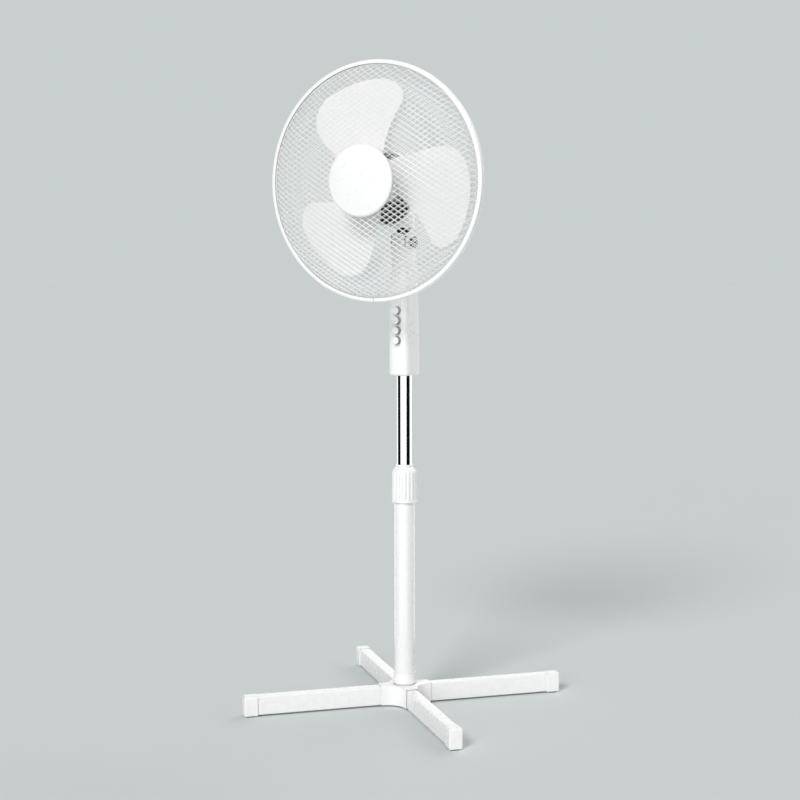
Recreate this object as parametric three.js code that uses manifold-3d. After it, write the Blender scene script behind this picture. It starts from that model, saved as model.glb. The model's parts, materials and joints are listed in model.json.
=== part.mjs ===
// Pedestal fan: a cross base, a telescopic mast with a control housing, and a tilting, oscillating head.
// Millimetres, +Z up. The origin is on the floor under the mast; the fan blows towards -Y.
import * as THREE from 'three';
import { mergeVertices } from 'three/addons/utils/BufferGeometryUtils.js';
import Module from 'manifold-3d';

const wasm = await Module();
wasm.setup();

// ---------------------------------------------------------------- driving dimensions

const GAP = 0.3; // clearance between pieces that touch on the real fan

// base
const ARM_REACH = 310.5; // mast axis to the outer face of an end cap
const ARM_WIDTH = 20.5;
const ARM_BOTTOM = 3;
const ARM_TOP = 38.4;
const ARM_WALL = 1.2;
const ARM_START = 22;
const CAP_LENGTH = 25;
const CAP_WIDTH = 24.5;
const CAP_BOTTOM = 1.5;
const CAP_TOP = 39;
const CAP_GRIP = 8; // how far a cap swallows its arm
const HUB_REACH = 49;
const HUB_HALF_WIDTH = 12.2;
const HUB_FILLET = 34;
const HUB_BOTTOM = 2.7;
const HUB_TOP = 40;
const COLLAR_TOP = 64;
const COLLAR_RADIUS = 21.5;

// mast
const LOWER_TUBE_RADIUS = 19.2;
const LOWER_TUBE_WALL = 1.2;
const LOWER_TUBE_BOTTOM = 14;
const LOWER_TUBE_TOP = 396;
const INNER_TUBE_RADIUS = 13.75;
const INNER_TUBE_WALL = 1;
const INNER_TUBE_BOTTOM = 250;
const INNER_TUBE_TOP = 676;
const NUT_BOTTOM = 387;
const NUT_TOP = 458;
const NUT_RADIUS = 23.4;
const NUT_FLUTES = 18;

// control housing: each section is a rounded rectangle, wider at the foot than at the tilt joint
const HOUSING_WALL = 2;
const HOUSING_CORNER = 14;
const HOUSING_SECTIONS = [
  { z: 626, halfWidth: 18.5, front: -24, rear: 25 },
  { z: 629, halfWidth: 21.5, front: -27, rear: 28 },
  { z: 700, halfWidth: 20.8, front: -27, rear: 27.6 },
  { z: 770, halfWidth: 19.8, front: -26.8, rear: 26.5 },
  { z: 820, halfWidth: 18.9, front: -26.2, rear: 25 },
  { z: 860, halfWidth: 18.2, front: -26, rear: 19 },
  { z: 888, halfWidth: 18, front: -26, rear: 16.5 },
];
const HOUSING_NOTCH_BOTTOM = 864;
const HOUSING_NOTCH_FRONT = -23.9; // the front wall behind the grille stays closed
const BUTTON_RADIUS = 6.9;
const BUTTON_PROUD = 9;
const BUTTON_TOP_Z = 747;
const BUTTON_PITCH = 18.4;
const BUTTON_FRONT = -27;

// head: the tilt axis runs along X and the oscillation axis along Z, both through y = PIVOT_Y
const PIVOT_Y = -4;
const TILT_Z = 872;
const HEAD_Z = 980;
const RING_Y = -110; // plane where the two grilles meet
const RING_RADIUS = 215;
const RING_HALF_WIDTH = 5.5;
const RING_DEPTH = 7;
const RIM_RADIUS = 210.6;
const RIM_WIRE = 1.9;
const DOME_RADIUS = 206.3; // where a grille's dome meets the ring plane, inside the ring's lip
const GRILLE_WIRE = 1.6;
const SPOKE_WIDTH = 2.6;
const GRILLE_SPOKES = 12;
const FRONT_DEPTH = 48;
const REAR_DEPTH = 44;
const FRONT_CAP_RADIUS = 64.4;
const COVER_RADIUS = 54.5;
const COVER_FRONT = -62;
const COVER_REAR = 53.6;
const COVER_WALL = 2;
const SKIRT_BOTTOM = 899;
const COVER_WIDENING = 0.046; // share by which the front of the motor is wider than a round one
const COVER_DEEPENING = 0.23; // and taller
const COVER_DROP = 11; // how far its middle lies below the shaft
const BLADE_COUNT = 3;
const BLADE_THICKNESS = 2;
const BLADE_SETBACK = 15; // mean plane of the blades behind the ring plane
const BLADE_PITCH = 18.2; // how far a blade comes forward per radian, against its turning direction
const BLADE_FACING = 112; // direction of the first blade's middle, degrees from +X towards +Z

// gear train
const WORM_LEAD = 3.6;
const WHEEL_TEETH = 20;
const WHEEL_RADIUS = (WHEEL_TEETH * WORM_LEAD) / (2 * Math.PI);
const WORM_RADIUS = 5.4;
const WHEEL_X = WORM_RADIUS + WHEEL_RADIUS;
const CRANK_Y = PIVOT_Y + 16;
const CRANK_THROW = 4;
const PINION_TEETH = 6;
const CRANK_TEETH = 24;
const CRANK_DISTANCE = Math.hypot(WHEEL_X, CRANK_Y - PIVOT_Y);
const GEAR_MODULE = (2 * CRANK_DISTANCE) / (PINION_TEETH + CRANK_TEETH);
const LINK_PIN = { x: 12.5, y: PIVOT_Y - 4 };

// ---------------------------------------------------------------- materials

const finish = (color, roughness, metalness) =>
  new THREE.MeshStandardMaterial({ color, roughness, metalness });
const whitePlastic = finish(0xf2f2f0, 0.35, 0);
const whitePaint = finish(0xf0f0ee, 0.3, 0);
const greyPlastic = finish(0x9a9c9d, 0.5, 0);
const darkPlastic = finish(0x2c2d2f, 0.55, 0);
const blackRubber = finish(0x1c1c1c, 0.85, 0);
const chrome = finish(0xdfe2e4, 0.08, 1);
const zincSteel = finish(0xb9bcc0, 0.35, 1);
const laminatedSteel = finish(0x6d7074, 0.5, 1);
const castAluminium = finish(0x9b9ea1, 0.5, 1);
const brass = finish(0xb9964c, 0.35, 1);
const nylon = finish(0xe6e2d4, 0.6, 0);

// ---------------------------------------------------------------- geometry helpers

// Joins equal vertices, drops the slivers that a point on the axis leaves, and turns the faces outwards.
function weld(geometry) {
  const bare = geometry.clone();
  bare.deleteAttribute('normal');
  bare.deleteAttribute('uv');
  const welded = mergeVertices(bare, 1e-4);
  const source = welded.index.array;
  const position = welded.attributes.position;
  const corners = [new THREE.Vector3(), new THREE.Vector3(), new THREE.Vector3()];
  const kept = [];
  let volume = 0;
  for (let i = 0; i < source.length; i += 3) {
    const [a, b, c] = [source[i], source[i + 1], source[i + 2]];
    if (a === b || b === c || c === a) continue;
    kept.push(a, b, c);
    corners[0].fromBufferAttribute(position, a);
    corners[1].fromBufferAttribute(position, b);
    corners[2].fromBufferAttribute(position, c);
    volume += corners[0].dot(corners[1].cross(corners[2]));
  }
  if (volume < 0) kept.reverse();
  welded.setIndex(kept);
  return welded;
}

function toSolid(geometry) {
  const welded = weld(geometry);
  const vertProperties = new Float32Array(welded.attributes.position.array);
  const triVerts = new Uint32Array(welded.index.array);
  return new wasm.Manifold(new wasm.Mesh({ numProp: 3, vertProperties, triVerts }));
}

function toGeometry(solid) {
  const mesh = solid.getMesh();
  const geometry = new THREE.BufferGeometry();
  geometry.setAttribute('position', new THREE.BufferAttribute(new Float32Array(mesh.vertProperties), 3));
  geometry.setIndex(Array.from(mesh.triVerts));
  return geometry;
}

// Joins the first list of geometries and cuts the second list out of the result.
function combine(added, removed = []) {
  let result = toSolid(added[0]);
  for (const geometry of added.slice(1)) result = result.add(toSolid(geometry));
  for (const geometry of removed) result = result.subtract(toSolid(geometry));
  return toGeometry(result);
}

const at = (geometry, x, y, z) => geometry.translate(x, y, z);
const box = (x0, x1, y0, y1, z0, z1) =>
  at(new THREE.BoxGeometry(x1 - x0, y1 - y0, z1 - z0), (x0 + x1) / 2, (y0 + y1) / 2, (z0 + z1) / 2);

// Cylinders that run between two stations along an axis.
const rodZ = (radius, z0, z1, sides = 16) =>
  at(new THREE.CylinderGeometry(radius, radius, z1 - z0, sides).rotateX(Math.PI / 2), 0, 0, (z0 + z1) / 2);
const rodY = (radius, y0, y1, sides = 16) =>
  at(new THREE.CylinderGeometry(radius, radius, y1 - y0, sides), 0, (y0 + y1) / 2, 0);
const rodX = (radius, x0, x1, sides = 16) =>
  at(new THREE.CylinderGeometry(radius, radius, x1 - x0, sides).rotateZ(Math.PI / 2), (x0 + x1) / 2, 0, 0);

// Revolves [radius, station] pairs about Y (the head's axis) or Z (the mast's axis).
const spinY = (profile, sides = 24) =>
  new THREE.LatheGeometry(profile.map(([r, s]) => new THREE.Vector2(r, s)), sides);
const spinZ = (profile, sides = 24) => spinY(profile, sides).rotateX(Math.PI / 2);

// A ring of rectangular section, as a closed profile.
const sleeve = (inner, outer, low, high) =>
  [[inner, low], [outer, low], [outer, high], [inner, high], [inner, low]];

// Skins a stack of equal rings of points and closes both ends with a fan.
function loft(rings) {
  const count = rings[0].length;
  const points = rings.flat();
  const index = [];
  for (let ring = 0; ring + 1 < rings.length; ring += 1) {
    for (let i = 0; i < count; i += 1) {
      const a = ring * count + i;
      const b = ring * count + ((i + 1) % count);
      index.push(a, b, b + count, a, b + count, a + count);
    }
  }
  const last = (rings.length - 1) * count;
  for (let i = 1; i + 1 < count; i += 1) {
    index.push(0, i + 1, i);
    index.push(last, last + i, last + i + 1);
  }
  const geometry = new THREE.BufferGeometry().setFromPoints(points);
  geometry.setIndex(index);
  return geometry;
}

// Points of a rounded rectangle from x0 to x1 and y0 to y1, as [x, y] pairs, anticlockwise.
function roundedRectangle(x0, x1, y0, y1, corner, steps = 4) {
  const centres = [
    [x1 - corner, y1 - corner, 0],
    [x0 + corner, y1 - corner, 1],
    [x0 + corner, y0 + corner, 2],
    [x1 - corner, y0 + corner, 3],
  ];
  const points = [];
  for (const [cx, cy, quarter] of centres) {
    for (let step = 0; step <= steps; step += 1) {
      const angle = ((quarter + step / steps) * Math.PI) / 2;
      points.push([cx + corner * Math.cos(angle), cy + corner * Math.sin(angle)]);
    }
  }
  return points;
}

const shapeOf = (points) => new THREE.Shape(points.map(([x, y]) => new THREE.Vector2(x, y)));
const prismZ = (points, z0, z1) =>
  at(new THREE.ExtrudeGeometry(shapeOf(points), { depth: z1 - z0, bevelEnabled: false }), 0, 0, z0);

// A spoke of square section in a plane through the Y axis, along [radius, station] points.
function spokeWire(points, width, angle) {
  const half = width / 2;
  const outward = new THREE.Vector3(Math.cos(angle), 0, Math.sin(angle));
  const sideways = new THREE.Vector3(-Math.sin(angle), 0, Math.cos(angle));
  const rings = points.map(([radius, y], i) => {
    const before = points[Math.max(0, i - 1)];
    const after = points[Math.min(points.length - 1, i + 1)];
    const slope = new THREE.Vector2(after[0] - before[0], after[1] - before[1]).normalize();
    const centre = outward.clone().multiplyScalar(radius).setY(y);
    const normal = outward.clone().multiplyScalar(-slope.y).setY(slope.x);
    const corner = (a, b) =>
      centre.clone().addScaledVector(sideways, a * half).addScaledVector(normal, b * half);
    return [corner(-1, -1), corner(1, -1), corner(1, 1), corner(-1, 1)];
  });
  return loft(rings);
}

// ---------------------------------------------------------------- scene graph

const fan = new THREE.Group();
const head = new THREE.Group();
head.position.z = HEAD_Z;
fan.add(head);

function place(parent, name, geometry, material) {
  const mesh = new THREE.Mesh(weld(geometry), material);
  mesh.name = name;
  parent.add(mesh);
  return mesh;
}

// ---------------------------------------------------------------- base

const ARMS = { front_right: -45, rear_right: 45, rear_left: 135, front_left: -135 };
const POCKET_SLACK = 0.3;

// Plan of the hub: a cross whose arms meet in concave quarter rounds.
function crossOutline(reach, halfWidth, fillet) {
  const outline = [];
  for (let arm = 0; arm < 4; arm += 1) {
    const turn = (arm * Math.PI) / 2;
    const local = [[reach, -halfWidth], [reach, halfWidth]];
    for (let step = 0; step <= 5; step += 1) {
      const angle = -Math.PI / 2 - ((step / 5) * Math.PI) / 2;
      const centre = halfWidth + fillet;
      local.push([centre + fillet * Math.cos(angle), centre + fillet * Math.sin(angle)]);
    }
    for (const [x, y] of local) {
      outline.push([x * Math.cos(turn) - y * Math.sin(turn), x * Math.sin(turn) + y * Math.cos(turn)]);
    }
  }
  return outline;
}

const turned = (geometry, degrees) => geometry.rotateZ((degrees * Math.PI) / 180);

function baseHub() {
  const outline = crossOutline(HUB_REACH, HUB_HALF_WIDTH, HUB_FILLET);
  const cross = turned(prismZ(outline, HUB_BOTTOM, HUB_TOP), 45);
  const collar = spinZ([[0, 30], [COLLAR_RADIUS, 30], [COLLAR_RADIUS - 1, COLLAR_TOP], [0, COLLAR_TOP]]);
  const bore = rodZ(LOWER_TUBE_RADIUS + GAP, LOWER_TUBE_BOTTOM - GAP, COLLAR_TOP + 1, 32);
  const boltHole = rodZ(4.5, 0, 20, 16);
  const halfWidth = ARM_WIDTH / 2 + POCKET_SLACK;
  const pockets = Object.values(ARMS).map((angle) => {
    const pocket = box(ARM_START - GAP, 60, -halfWidth, halfWidth, 0, ARM_TOP + GAP);
    return turned(pocket, angle);
  });
  return combine([cross, collar], [bore, boltHole, ...pockets]);
}

function basePlate() {
  const cross = turned(prismZ(crossOutline(HUB_REACH - 10, 8, 30), 0.9, HUB_BOTTOM - GAP), 45);
  return combine([cross], [rodZ(4.5, 0, 10, 16)]);
}

// A tube of rectangular section, drawn along X and then turned to its direction.
function baseArm(angle) {
  const end = ARM_REACH - CAP_LENGTH + CAP_GRIP - GAP;
  const half = ARM_WIDTH / 2;
  const outer = roundedRectangle(-half, half, ARM_BOTTOM, ARM_TOP, 2, 2);
  const wall = ARM_WALL;
  const inner = roundedRectangle(-half + wall, half - wall, ARM_BOTTOM + wall, ARM_TOP - wall, 1, 1);
  const ring = (points, x) => points.map(([y, z]) => new THREE.Vector3(x, y, z));
  const tube = combine([loft([ring(outer, ARM_START), ring(outer, end)])],
    [loft([ring(inner, ARM_START - 1), ring(inner, end + 1)])]);
  return turned(tube, angle);
}

function endCap(angle) {
  const start = ARM_REACH - CAP_LENGTH;
  const half = CAP_WIDTH / 2;
  const ring = (x, inset) =>
    roundedRectangle(-half + inset, half - inset, CAP_BOTTOM + inset, CAP_TOP - inset, 3, 3)
      .map(([y, z]) => new THREE.Vector3(x, y, z));
  const cap = loft([ring(start, 0), ring(ARM_REACH - 1.5, 0), ring(ARM_REACH, 1.5)]);
  const slack = ARM_WIDTH / 2 + POCKET_SLACK;
  const socket = box(start - 1, start + CAP_GRIP, -slack, slack, ARM_BOTTOM - GAP, ARM_TOP + GAP);
  return turned(combine([cap], [socket]), angle);
}

function footPad(angle) {
  const pad = prismZ(roundedRectangle(ARM_REACH - 20, ARM_REACH - 3, -8, 8, 3, 2), 0, CAP_BOTTOM - GAP);
  return turned(pad, angle);
}

place(fan, 'base_hub', baseHub(), whitePlastic);
place(fan, 'base_plate', basePlate(), zincSteel);
for (const [side, angle] of Object.entries(ARMS)) {
  place(fan, `arm_${side}`, baseArm(angle), whitePaint);
  place(fan, `end_cap_${side}`, endCap(angle), whitePlastic);
  place(fan, `foot_pad_${side}`, footPad(angle), blackRubber);
}

const boltProfile = [[0, 0.2], [6.5, 0.2], [6.5, 0.6], [4, 0.6], [4, 30], [0, 30]];
place(fan, 'base_bolt', spinZ(boltProfile, 16), zincSteel);

const tubeBore = LOWER_TUBE_RADIUS - LOWER_TUBE_WALL;
place(fan, 'tube_plug', spinZ(sleeve(4.3, tubeBore - GAP, LOWER_TUBE_BOTTOM + GAP, 34), 24), zincSteel);
const lowerTube = sleeve(tubeBore, LOWER_TUBE_RADIUS, LOWER_TUBE_BOTTOM, LOWER_TUBE_TOP);
place(fan, 'lower_tube', spinZ(lowerTube), whitePaint);

// ---------------------------------------------------------------- height lock

function tubeCollet() {
  const bore = INNER_TUBE_RADIUS + GAP;
  const body = spinZ([[bore, 374], [tubeBore - GAP, 374], [tubeBore - GAP, LOWER_TUBE_TOP + GAP],
    [LOWER_TUBE_RADIUS, LOWER_TUBE_TOP + GAP], [LOWER_TUBE_RADIUS, 400], [18, 400], [18, 437],
    [15.8, 449], [bore, 449], [bore, 374]], 24);
  const slots = [0, 90].map((angle) => turned(box(-25, 25, -1, 1, 415, 460), angle));
  return combine([body], slots);
}

// A nut with broad soft flutes, a cone above them and a plain neck ring.
function heightLockNut() {
  const flutes = [];
  const steps = NUT_FLUTES * 3;
  for (let step = 0; step < steps; step += 1) {
    const angle = (step / steps) * 2 * Math.PI;
    const radius = NUT_RADIUS - 0.5 + 0.45 * Math.cos(angle * NUT_FLUTES);
    flutes.push([radius * Math.cos(angle), radius * Math.sin(angle)]);
  }
  const body = prismZ(flutes, NUT_BOTTOM + 4, NUT_TOP - 11);
  const core = spinZ([[0, NUT_BOTTOM], [NUT_RADIUS, NUT_BOTTOM], [NUT_RADIUS, NUT_BOTTOM + 4.5],
    [NUT_RADIUS - 1.5, NUT_BOTTOM + 4.5], [NUT_RADIUS - 1.5, NUT_TOP - 11], [17, NUT_TOP - 5.5],
    [16, NUT_TOP - 5.5], [16, NUT_TOP], [0, NUT_TOP]], 24);
  const bore = spinZ([[0, 380], [LOWER_TUBE_RADIUS + GAP, 380], [LOWER_TUBE_RADIUS + GAP, 401], [18.4, 401],
    [18.4, 438], [16.2, 450], [14.2, 450], [14.2, NUT_TOP + 1], [0, NUT_TOP + 1]], 24);
  return combine([core, body], [bore]);
}

place(fan, 'tube_collet', tubeCollet(), greyPlastic);
place(fan, 'height_lock_nut', heightLockNut(), whitePlastic);

// ---------------------------------------------------------------- mast and control housing

const innerBore = INNER_TUBE_RADIUS - INNER_TUBE_WALL;
const innerTube = sleeve(innerBore, INNER_TUBE_RADIUS, INNER_TUBE_BOTTOM, INNER_TUBE_TOP);
place(fan, 'inner_tube', spinZ(innerTube), chrome);
const BUSH_TOP = INNER_TUBE_BOTTOM + 20;
const bushProfile = sleeve(INNER_TUBE_RADIUS + GAP, tubeBore - GAP, INNER_TUBE_BOTTOM, BUSH_TOP);
place(fan, 'guide_bush', spinZ(bushProfile, 24), nylon);

const SOCKET_RADIUS = 17.2;
const CLAMP_Z = 662;
const socketBody = spinZ(sleeve(INNER_TUBE_RADIUS + GAP, SOCKET_RADIUS, 632, INNER_TUBE_TOP), 24);
const clampHole = at(rodX(2.3, 12, 20, 12), 0, 0, CLAMP_Z);
place(fan, 'pole_socket', combine([socketBody], [clampHole]), greyPlastic);
const clampScrew = combine([rodX(2, INNER_TUBE_RADIUS + GAP, 18, 12), rodX(3.2, SOCKET_RADIUS + GAP, 19, 12)]);
place(fan, 'clamp_screw', at(clampScrew, 0, 0, CLAMP_Z), zincSteel);

const housingRing = (section, inset, z) =>
  roundedRectangle(-section.halfWidth + inset, section.halfWidth - inset, section.front + inset,
    section.rear - inset, HOUSING_CORNER - inset, 2).map(([x, y]) => new THREE.Vector3(x, y, z));

const BUTTON_ZS = [0, 1, 2, 3].map((row) => BUTTON_TOP_Z - row * BUTTON_PITCH);
const SCREW_ZS = { lower: 774, upper: 822 };
const GLAND_Z = 646;

function housingCuts() {
  const cavity = HOUSING_SECTIONS.slice(1).map((section, i) =>
    housingRing(section, HOUSING_WALL, section.z));
  const last = HOUSING_SECTIONS[HOUSING_SECTIONS.length - 1];
  cavity.push(housingRing(last, HOUSING_WALL, last.z + 1));
  return [
    loft(cavity),
    rodZ(INNER_TUBE_RADIUS + GAP, 620, 632, 24),
    box(-15.7, 15.7, HOUSING_NOTCH_FRONT, 40, HOUSING_NOTCH_BOTTOM, 900),
    at(rodX(4.3, -30, 30, 16), 0, PIVOT_Y, TILT_Z),
  ];
}

const housingOuter = () => loft(HOUSING_SECTIONS.map((section) => housingRing(section, 0, section.z)));

function housingFront() {
  const bosses = Object.values(SCREW_ZS).map((z) => at(rodY(4, -25.5, 3.5, 12), 0, 0, z));
  const shell = toSolid(combine([housingOuter()], [...housingCuts(), box(-40, 40, -0.15, 60, 600, 900)]));
  let result = shell;
  for (const boss of bosses) result = result.add(toSolid(boss));
  for (const z of Object.values(SCREW_ZS)) {
    result = result.subtract(toSolid(at(rodY(2, -20, 5, 12), 0, 0, z)));
  }
  for (const z of BUTTON_ZS) {
    result = result.subtract(toSolid(at(rodY(BUTTON_RADIUS + GAP, -40, -20, 12), 0, 0, z)));
  }
  return toGeometry(result);
}

function housingRear() {
  const screwHoles = Object.values(SCREW_ZS).map((z) => at(rodY(2, 10, 40, 12), 0, 0, z));
  const glandHole = at(rodY(6.3, 20, 40, 16), 0, 0, GLAND_Z);
  const frontHalf = box(-40, 40, -60, 0.15, 600, 900);
  return combine([housingOuter()], [...housingCuts(), frontHalf, ...screwHoles, glandHole]);
}

place(fan, 'housing_front', housingFront(), whitePlastic);
place(fan, 'housing_rear', housingRear(), whitePlastic);

const screwFace = { lower: 26.5, upper: 25 };
for (const [row, z] of Object.entries(SCREW_ZS)) {
  const face = screwFace[row] + GAP;
  const profile = [[0, -12], [1.6, -12], [1.6, face], [3.4, face], [3.4, face + 1.4], [0, face + 1.8]];
  const screw = spinY(profile, 12);
  place(fan, `housing_screw_${row}`, at(screw, 0, 0, z), zincSteel);
}

function pushButton() {
  const front = BUTTON_FRONT - BUTTON_PROUD;
  const radius = BUTTON_RADIUS;
  return spinY([[0, front], [radius - 1.4, front + 0.2], [radius - 0.4, front + 0.7], [radius, front + 1.7],
    [radius, -22], [3, -22], [3, -18], [0, -18]], 12);
}

for (const [row, z] of BUTTON_ZS.entries()) {
  place(fan, `button_${row + 1}`, at(pushButton(), 0, 0, z), whitePlastic);
}
place(fan, 'switch_block', box(-12, 12, -13, 8, 684, 757), darkPlastic);

const gland = sleeve(3.6, 6, 22, 38).slice(0, -1);
gland.splice(2, 0, [6, 28.2], [8.5, 28.2], [8.5, 31], [6, 31]);
place(fan, 'cord_gland', at(spinY([...gland, gland[0]], 16), 0, 0, GLAND_Z), blackRubber);

// ---------------------------------------------------------------- tilt joint and neck

const TONGUE_HALF = 7;
const tiltHole = (length) => at(rodX(4.3, -length, length, 16), 0, PIVOT_Y, TILT_Z);

function tiltFork() {
  const cheeks = [-1, 1].map((side) => {
    const x0 = side > 0 ? TONGUE_HALF + GAP : -13;
    const x1 = side > 0 ? 13 : -TONGUE_HALF - GAP;
    const round = at(rodX(11, x0, x1, 24), 0, PIVOT_Y, TILT_Z);
    return combine([round, box(x0, x1, PIVOT_Y - 11, PIVOT_Y + 11, 842, TILT_Z)]);
  });
  return combine([box(-13, 13, PIVOT_Y - 11, PIVOT_Y + 11, 838, 850), ...cheeks], [tiltHole(20)]);
}

function neck() {
  const tongue = at(rodX(9, -TONGUE_HALF, TONGUE_HALF, 24), 0, PIVOT_Y, TILT_Z);
  const stem = box(-TONGUE_HALF, TONGUE_HALF, PIVOT_Y - 9, PIVOT_Y + 9, TILT_Z, 886);
  const collar = at(rodZ(12, 884, 903, 24), 0, PIVOT_Y, 0);
  const lug = at(rodZ(3.6, 893, 903, 12), LINK_PIN.x, LINK_PIN.y, 0);
  const pin = at(rodZ(1.6, 900, 915.6, 12), LINK_PIN.x, LINK_PIN.y, 0);
  const bore = at(rodZ(6.3, 880, 910, 20), 0, PIVOT_Y, 0);
  return combine([tongue, stem, collar, lug, pin], [bore, tiltHole(20)]);
}

place(fan, 'tilt_fork', tiltFork(), greyPlastic);
place(fan, 'neck', neck(), darkPlastic);
const tiltBolt = combine([rodX(4, -20.5, 20.5, 16), rodX(11, 18.6, 26, 20), rodX(7, -21, -18.6, 6)]);
place(fan, 'tilt_bolt', at(tiltBolt, 0, PIVOT_Y, TILT_Z), darkPlastic);
place(fan, 'pivot_bush', at(spinZ(sleeve(4.3, 6, 880.3, 903), 20), 0, PIVOT_Y, 0), brass);

const LINK_Z = { low: 912, high: 915 };
function linkRod() {
  const end = { x: CRANK_THROW, y: CRANK_Y };
  const length = Math.hypot(end.x - LINK_PIN.x, end.y - LINK_PIN.y);
  const angle = Math.atan2(end.y - LINK_PIN.y, end.x - LINK_PIN.x);
  const eye = (x) => at(rodZ(3.4, LINK_Z.low, LINK_Z.high, 16), x, 0, 0);
  const bar = box(0, length, -1.6, 1.6, LINK_Z.low, LINK_Z.high);
  const holes = [0, length].map((x) => at(rodZ(1.95, 900, 920, 12), x, 0, 0));
  return at(combine([bar, eye(0), eye(length)], holes).rotateZ(angle), LINK_PIN.x, LINK_PIN.y, 0);
}
place(fan, 'link_rod', linkRod(), zincSteel);

// ---------------------------------------------------------------- gearbox

// From here, heights are local to the head.

const local = (z) => z - HEAD_Z;
const SHAFT_RADIUS = 4;
const SHAFT_TAIL_RADIUS = 3;
const CASE_FRONT = -17.6;
const CASE_FLOOR = -20;
const CASE_SHEET = 1.3;

function gearboxFrame() {
  const floor = box(-14, 24, CASE_FRONT, 26, CASE_FLOOR, CASE_FLOOR + 3);
  const wall = box(-14, 24, CASE_FRONT, CASE_FRONT + CASE_SHEET, CASE_FLOOR, 12);
  const boss = at(rodZ(7.3, local(903.6), CASE_FLOOR + 1, 20), 0, PIVOT_Y, 0);
  const pinHole = at(rodZ(4.3, local(900), local(932), 16), 0, PIVOT_Y, 0);
  const crankHole = at(rodZ(2.8, -40, 0, 16), 0, CRANK_Y, 0);
  return combine([floor, wall, boss], [pinHole, crankHole, rodY(SHAFT_TAIL_RADIUS + GAP, -30, 0, 16)]);
}

const pivotPin = at(rodZ(4, local(883), local(931.5), 16), 0, PIVOT_Y, 0);

// A single-start thread: a round section with one raised quarter, turned once per lead.
function worm() {
  const halfLength = 5.4;
  const stepsPerTurn = 8;
  const sides = 8;
  const rootRadius = 4.7;
  const threadHeight = 1.4;
  const flank = 0.2; // how much of the cosine wave stays below the root
  const turns = (2 * halfLength) / WORM_LEAD;
  const rings = [];
  for (let step = 0; step <= turns * stepsPerTurn; step += 1) {
    const y = -halfLength + (step * WORM_LEAD) / stepsPerTurn;
    const ring = [];
    for (let side = 0; side < sides; side += 1) {
      const angle = (side / sides) * 2 * Math.PI;
      const phase = angle - (y / WORM_LEAD) * 2 * Math.PI;
      const crest = Math.max(0, Math.cos(phase) - flank) / (1 - flank);
      const radius = rootRadius + threadHeight * crest;
      ring.push(new THREE.Vector3(radius * Math.cos(angle), y, -radius * Math.sin(angle)));
    }
    rings.push(ring);
  }
  return at(combine([loft(rings)], [rodY(SHAFT_TAIL_RADIUS + GAP, -20, 20, 16)]), 0, PIVOT_Y, 0);
}

// Straight tapered teeth round a disc; phase is the angle of the first tooth's middle.
function toothed(teeth, pitchRadius, addendum, dedendum, z0, z1, phase = 0) {
  const pitch = (2 * Math.PI) / teeth;
  const outline = [];
  for (let tooth = 0; tooth < teeth; tooth += 1) {
    const middle = phase + tooth * pitch;
    const corners = [[-0.25, -dedendum], [-0.1, addendum], [0.1, addendum], [0.25, -dedendum]];
    for (const [offset, height] of corners) {
      const angle = middle + offset * pitch;
      const radius = pitchRadius + height;
      outline.push([radius * Math.cos(angle), radius * Math.sin(angle)]);
    }
  }
  return prismZ(outline, z0, z1);
}

function wormWheel() {
  const wheel = toothed(WHEEL_TEETH, WHEEL_RADIUS, 0.45, 1.2, -2.5, 2.5, Math.PI + Math.PI / WHEEL_TEETH);
  const toCrank = Math.atan2(CRANK_Y - PIVOT_Y, -WHEEL_X);
  const pinionRadius = (GEAR_MODULE * PINION_TEETH) / 2;
  const pinion = toothed(PINION_TEETH, pinionRadius, 0.8, 1.1, -14, -9, toCrank);
  const shaft = rodZ(2.6, CASE_FLOOR + 3 + GAP, 6, 16);
  return at(combine([wheel, pinion, shaft]), WHEEL_X, PIVOT_Y, 0);
}

function crankGear() {
  const toPinion = Math.atan2(PIVOT_Y - CRANK_Y, WHEEL_X);
  const radius = (GEAR_MODULE * CRANK_TEETH) / 2;
  const gear = toothed(CRANK_TEETH, radius, 0.8, 1.1, -14, -9, toPinion + Math.PI / CRANK_TEETH);
  const shaft = rodZ(2.5, -60, -9, 16);
  const disc = rodZ(6.2, local(920), local(923), 20);
  const pin = at(rodZ(1.6, local(915.4), local(921), 12), CRANK_THROW, 0, 0);
  return at(combine([gear, shaft, disc, pin]), 0, CRANK_Y, 0);
}

place(head, 'gearbox_frame', gearboxFrame(), zincSteel);
place(head, 'pivot_pin', pivotPin, zincSteel);
place(head, 'worm', worm(), brass);
place(head, 'worm_wheel', wormWheel(), nylon);
place(head, 'crank_gear', crankGear(), nylon);

const knobTop = 56;
const knobProfile = [[0, 7], [2.4, 7], [2.4, 49], [6.5, 49], [7.6, knobTop - 3], [6.8, knobTop],
  [0, knobTop + 1]];
place(head, 'oscillation_knob', at(spinZ(knobProfile, 20), WHEEL_X, PIVOT_Y, 0), whitePlastic);

// ---------------------------------------------------------------- motor

const STATOR = { front: -55, rear: -25, bore: 24.3, radius: 44 };

// Widens and lowers a round shape towards the front of the motor; at the rear it stays round.
function fuller(geometry) {
  const shaped = geometry.clone();
  const position = shaped.attributes.position;
  for (let i = 0; i < position.count; i += 1) {
    const y = position.getY(i);
    const share = THREE.MathUtils.clamp((COVER_REAR - y) / (COVER_REAR - COVER_FRONT), 0, 1);
    position.setX(i, position.getX(i) * (1 + COVER_WIDENING * share));
    position.setZ(i, position.getZ(i) * (1 + COVER_DEEPENING * share) - COVER_DROP * share);
  }
  return shaped;
}

function frontBracket() {
  const plate = fuller(rodY(COVER_RADIUS - 3.5, -63, -59, 40));
  return combine([plate, rodY(19, -76, -60, 24)], [rodY(SHAFT_RADIUS + GAP, -80, -50, 16)]);
}

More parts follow.
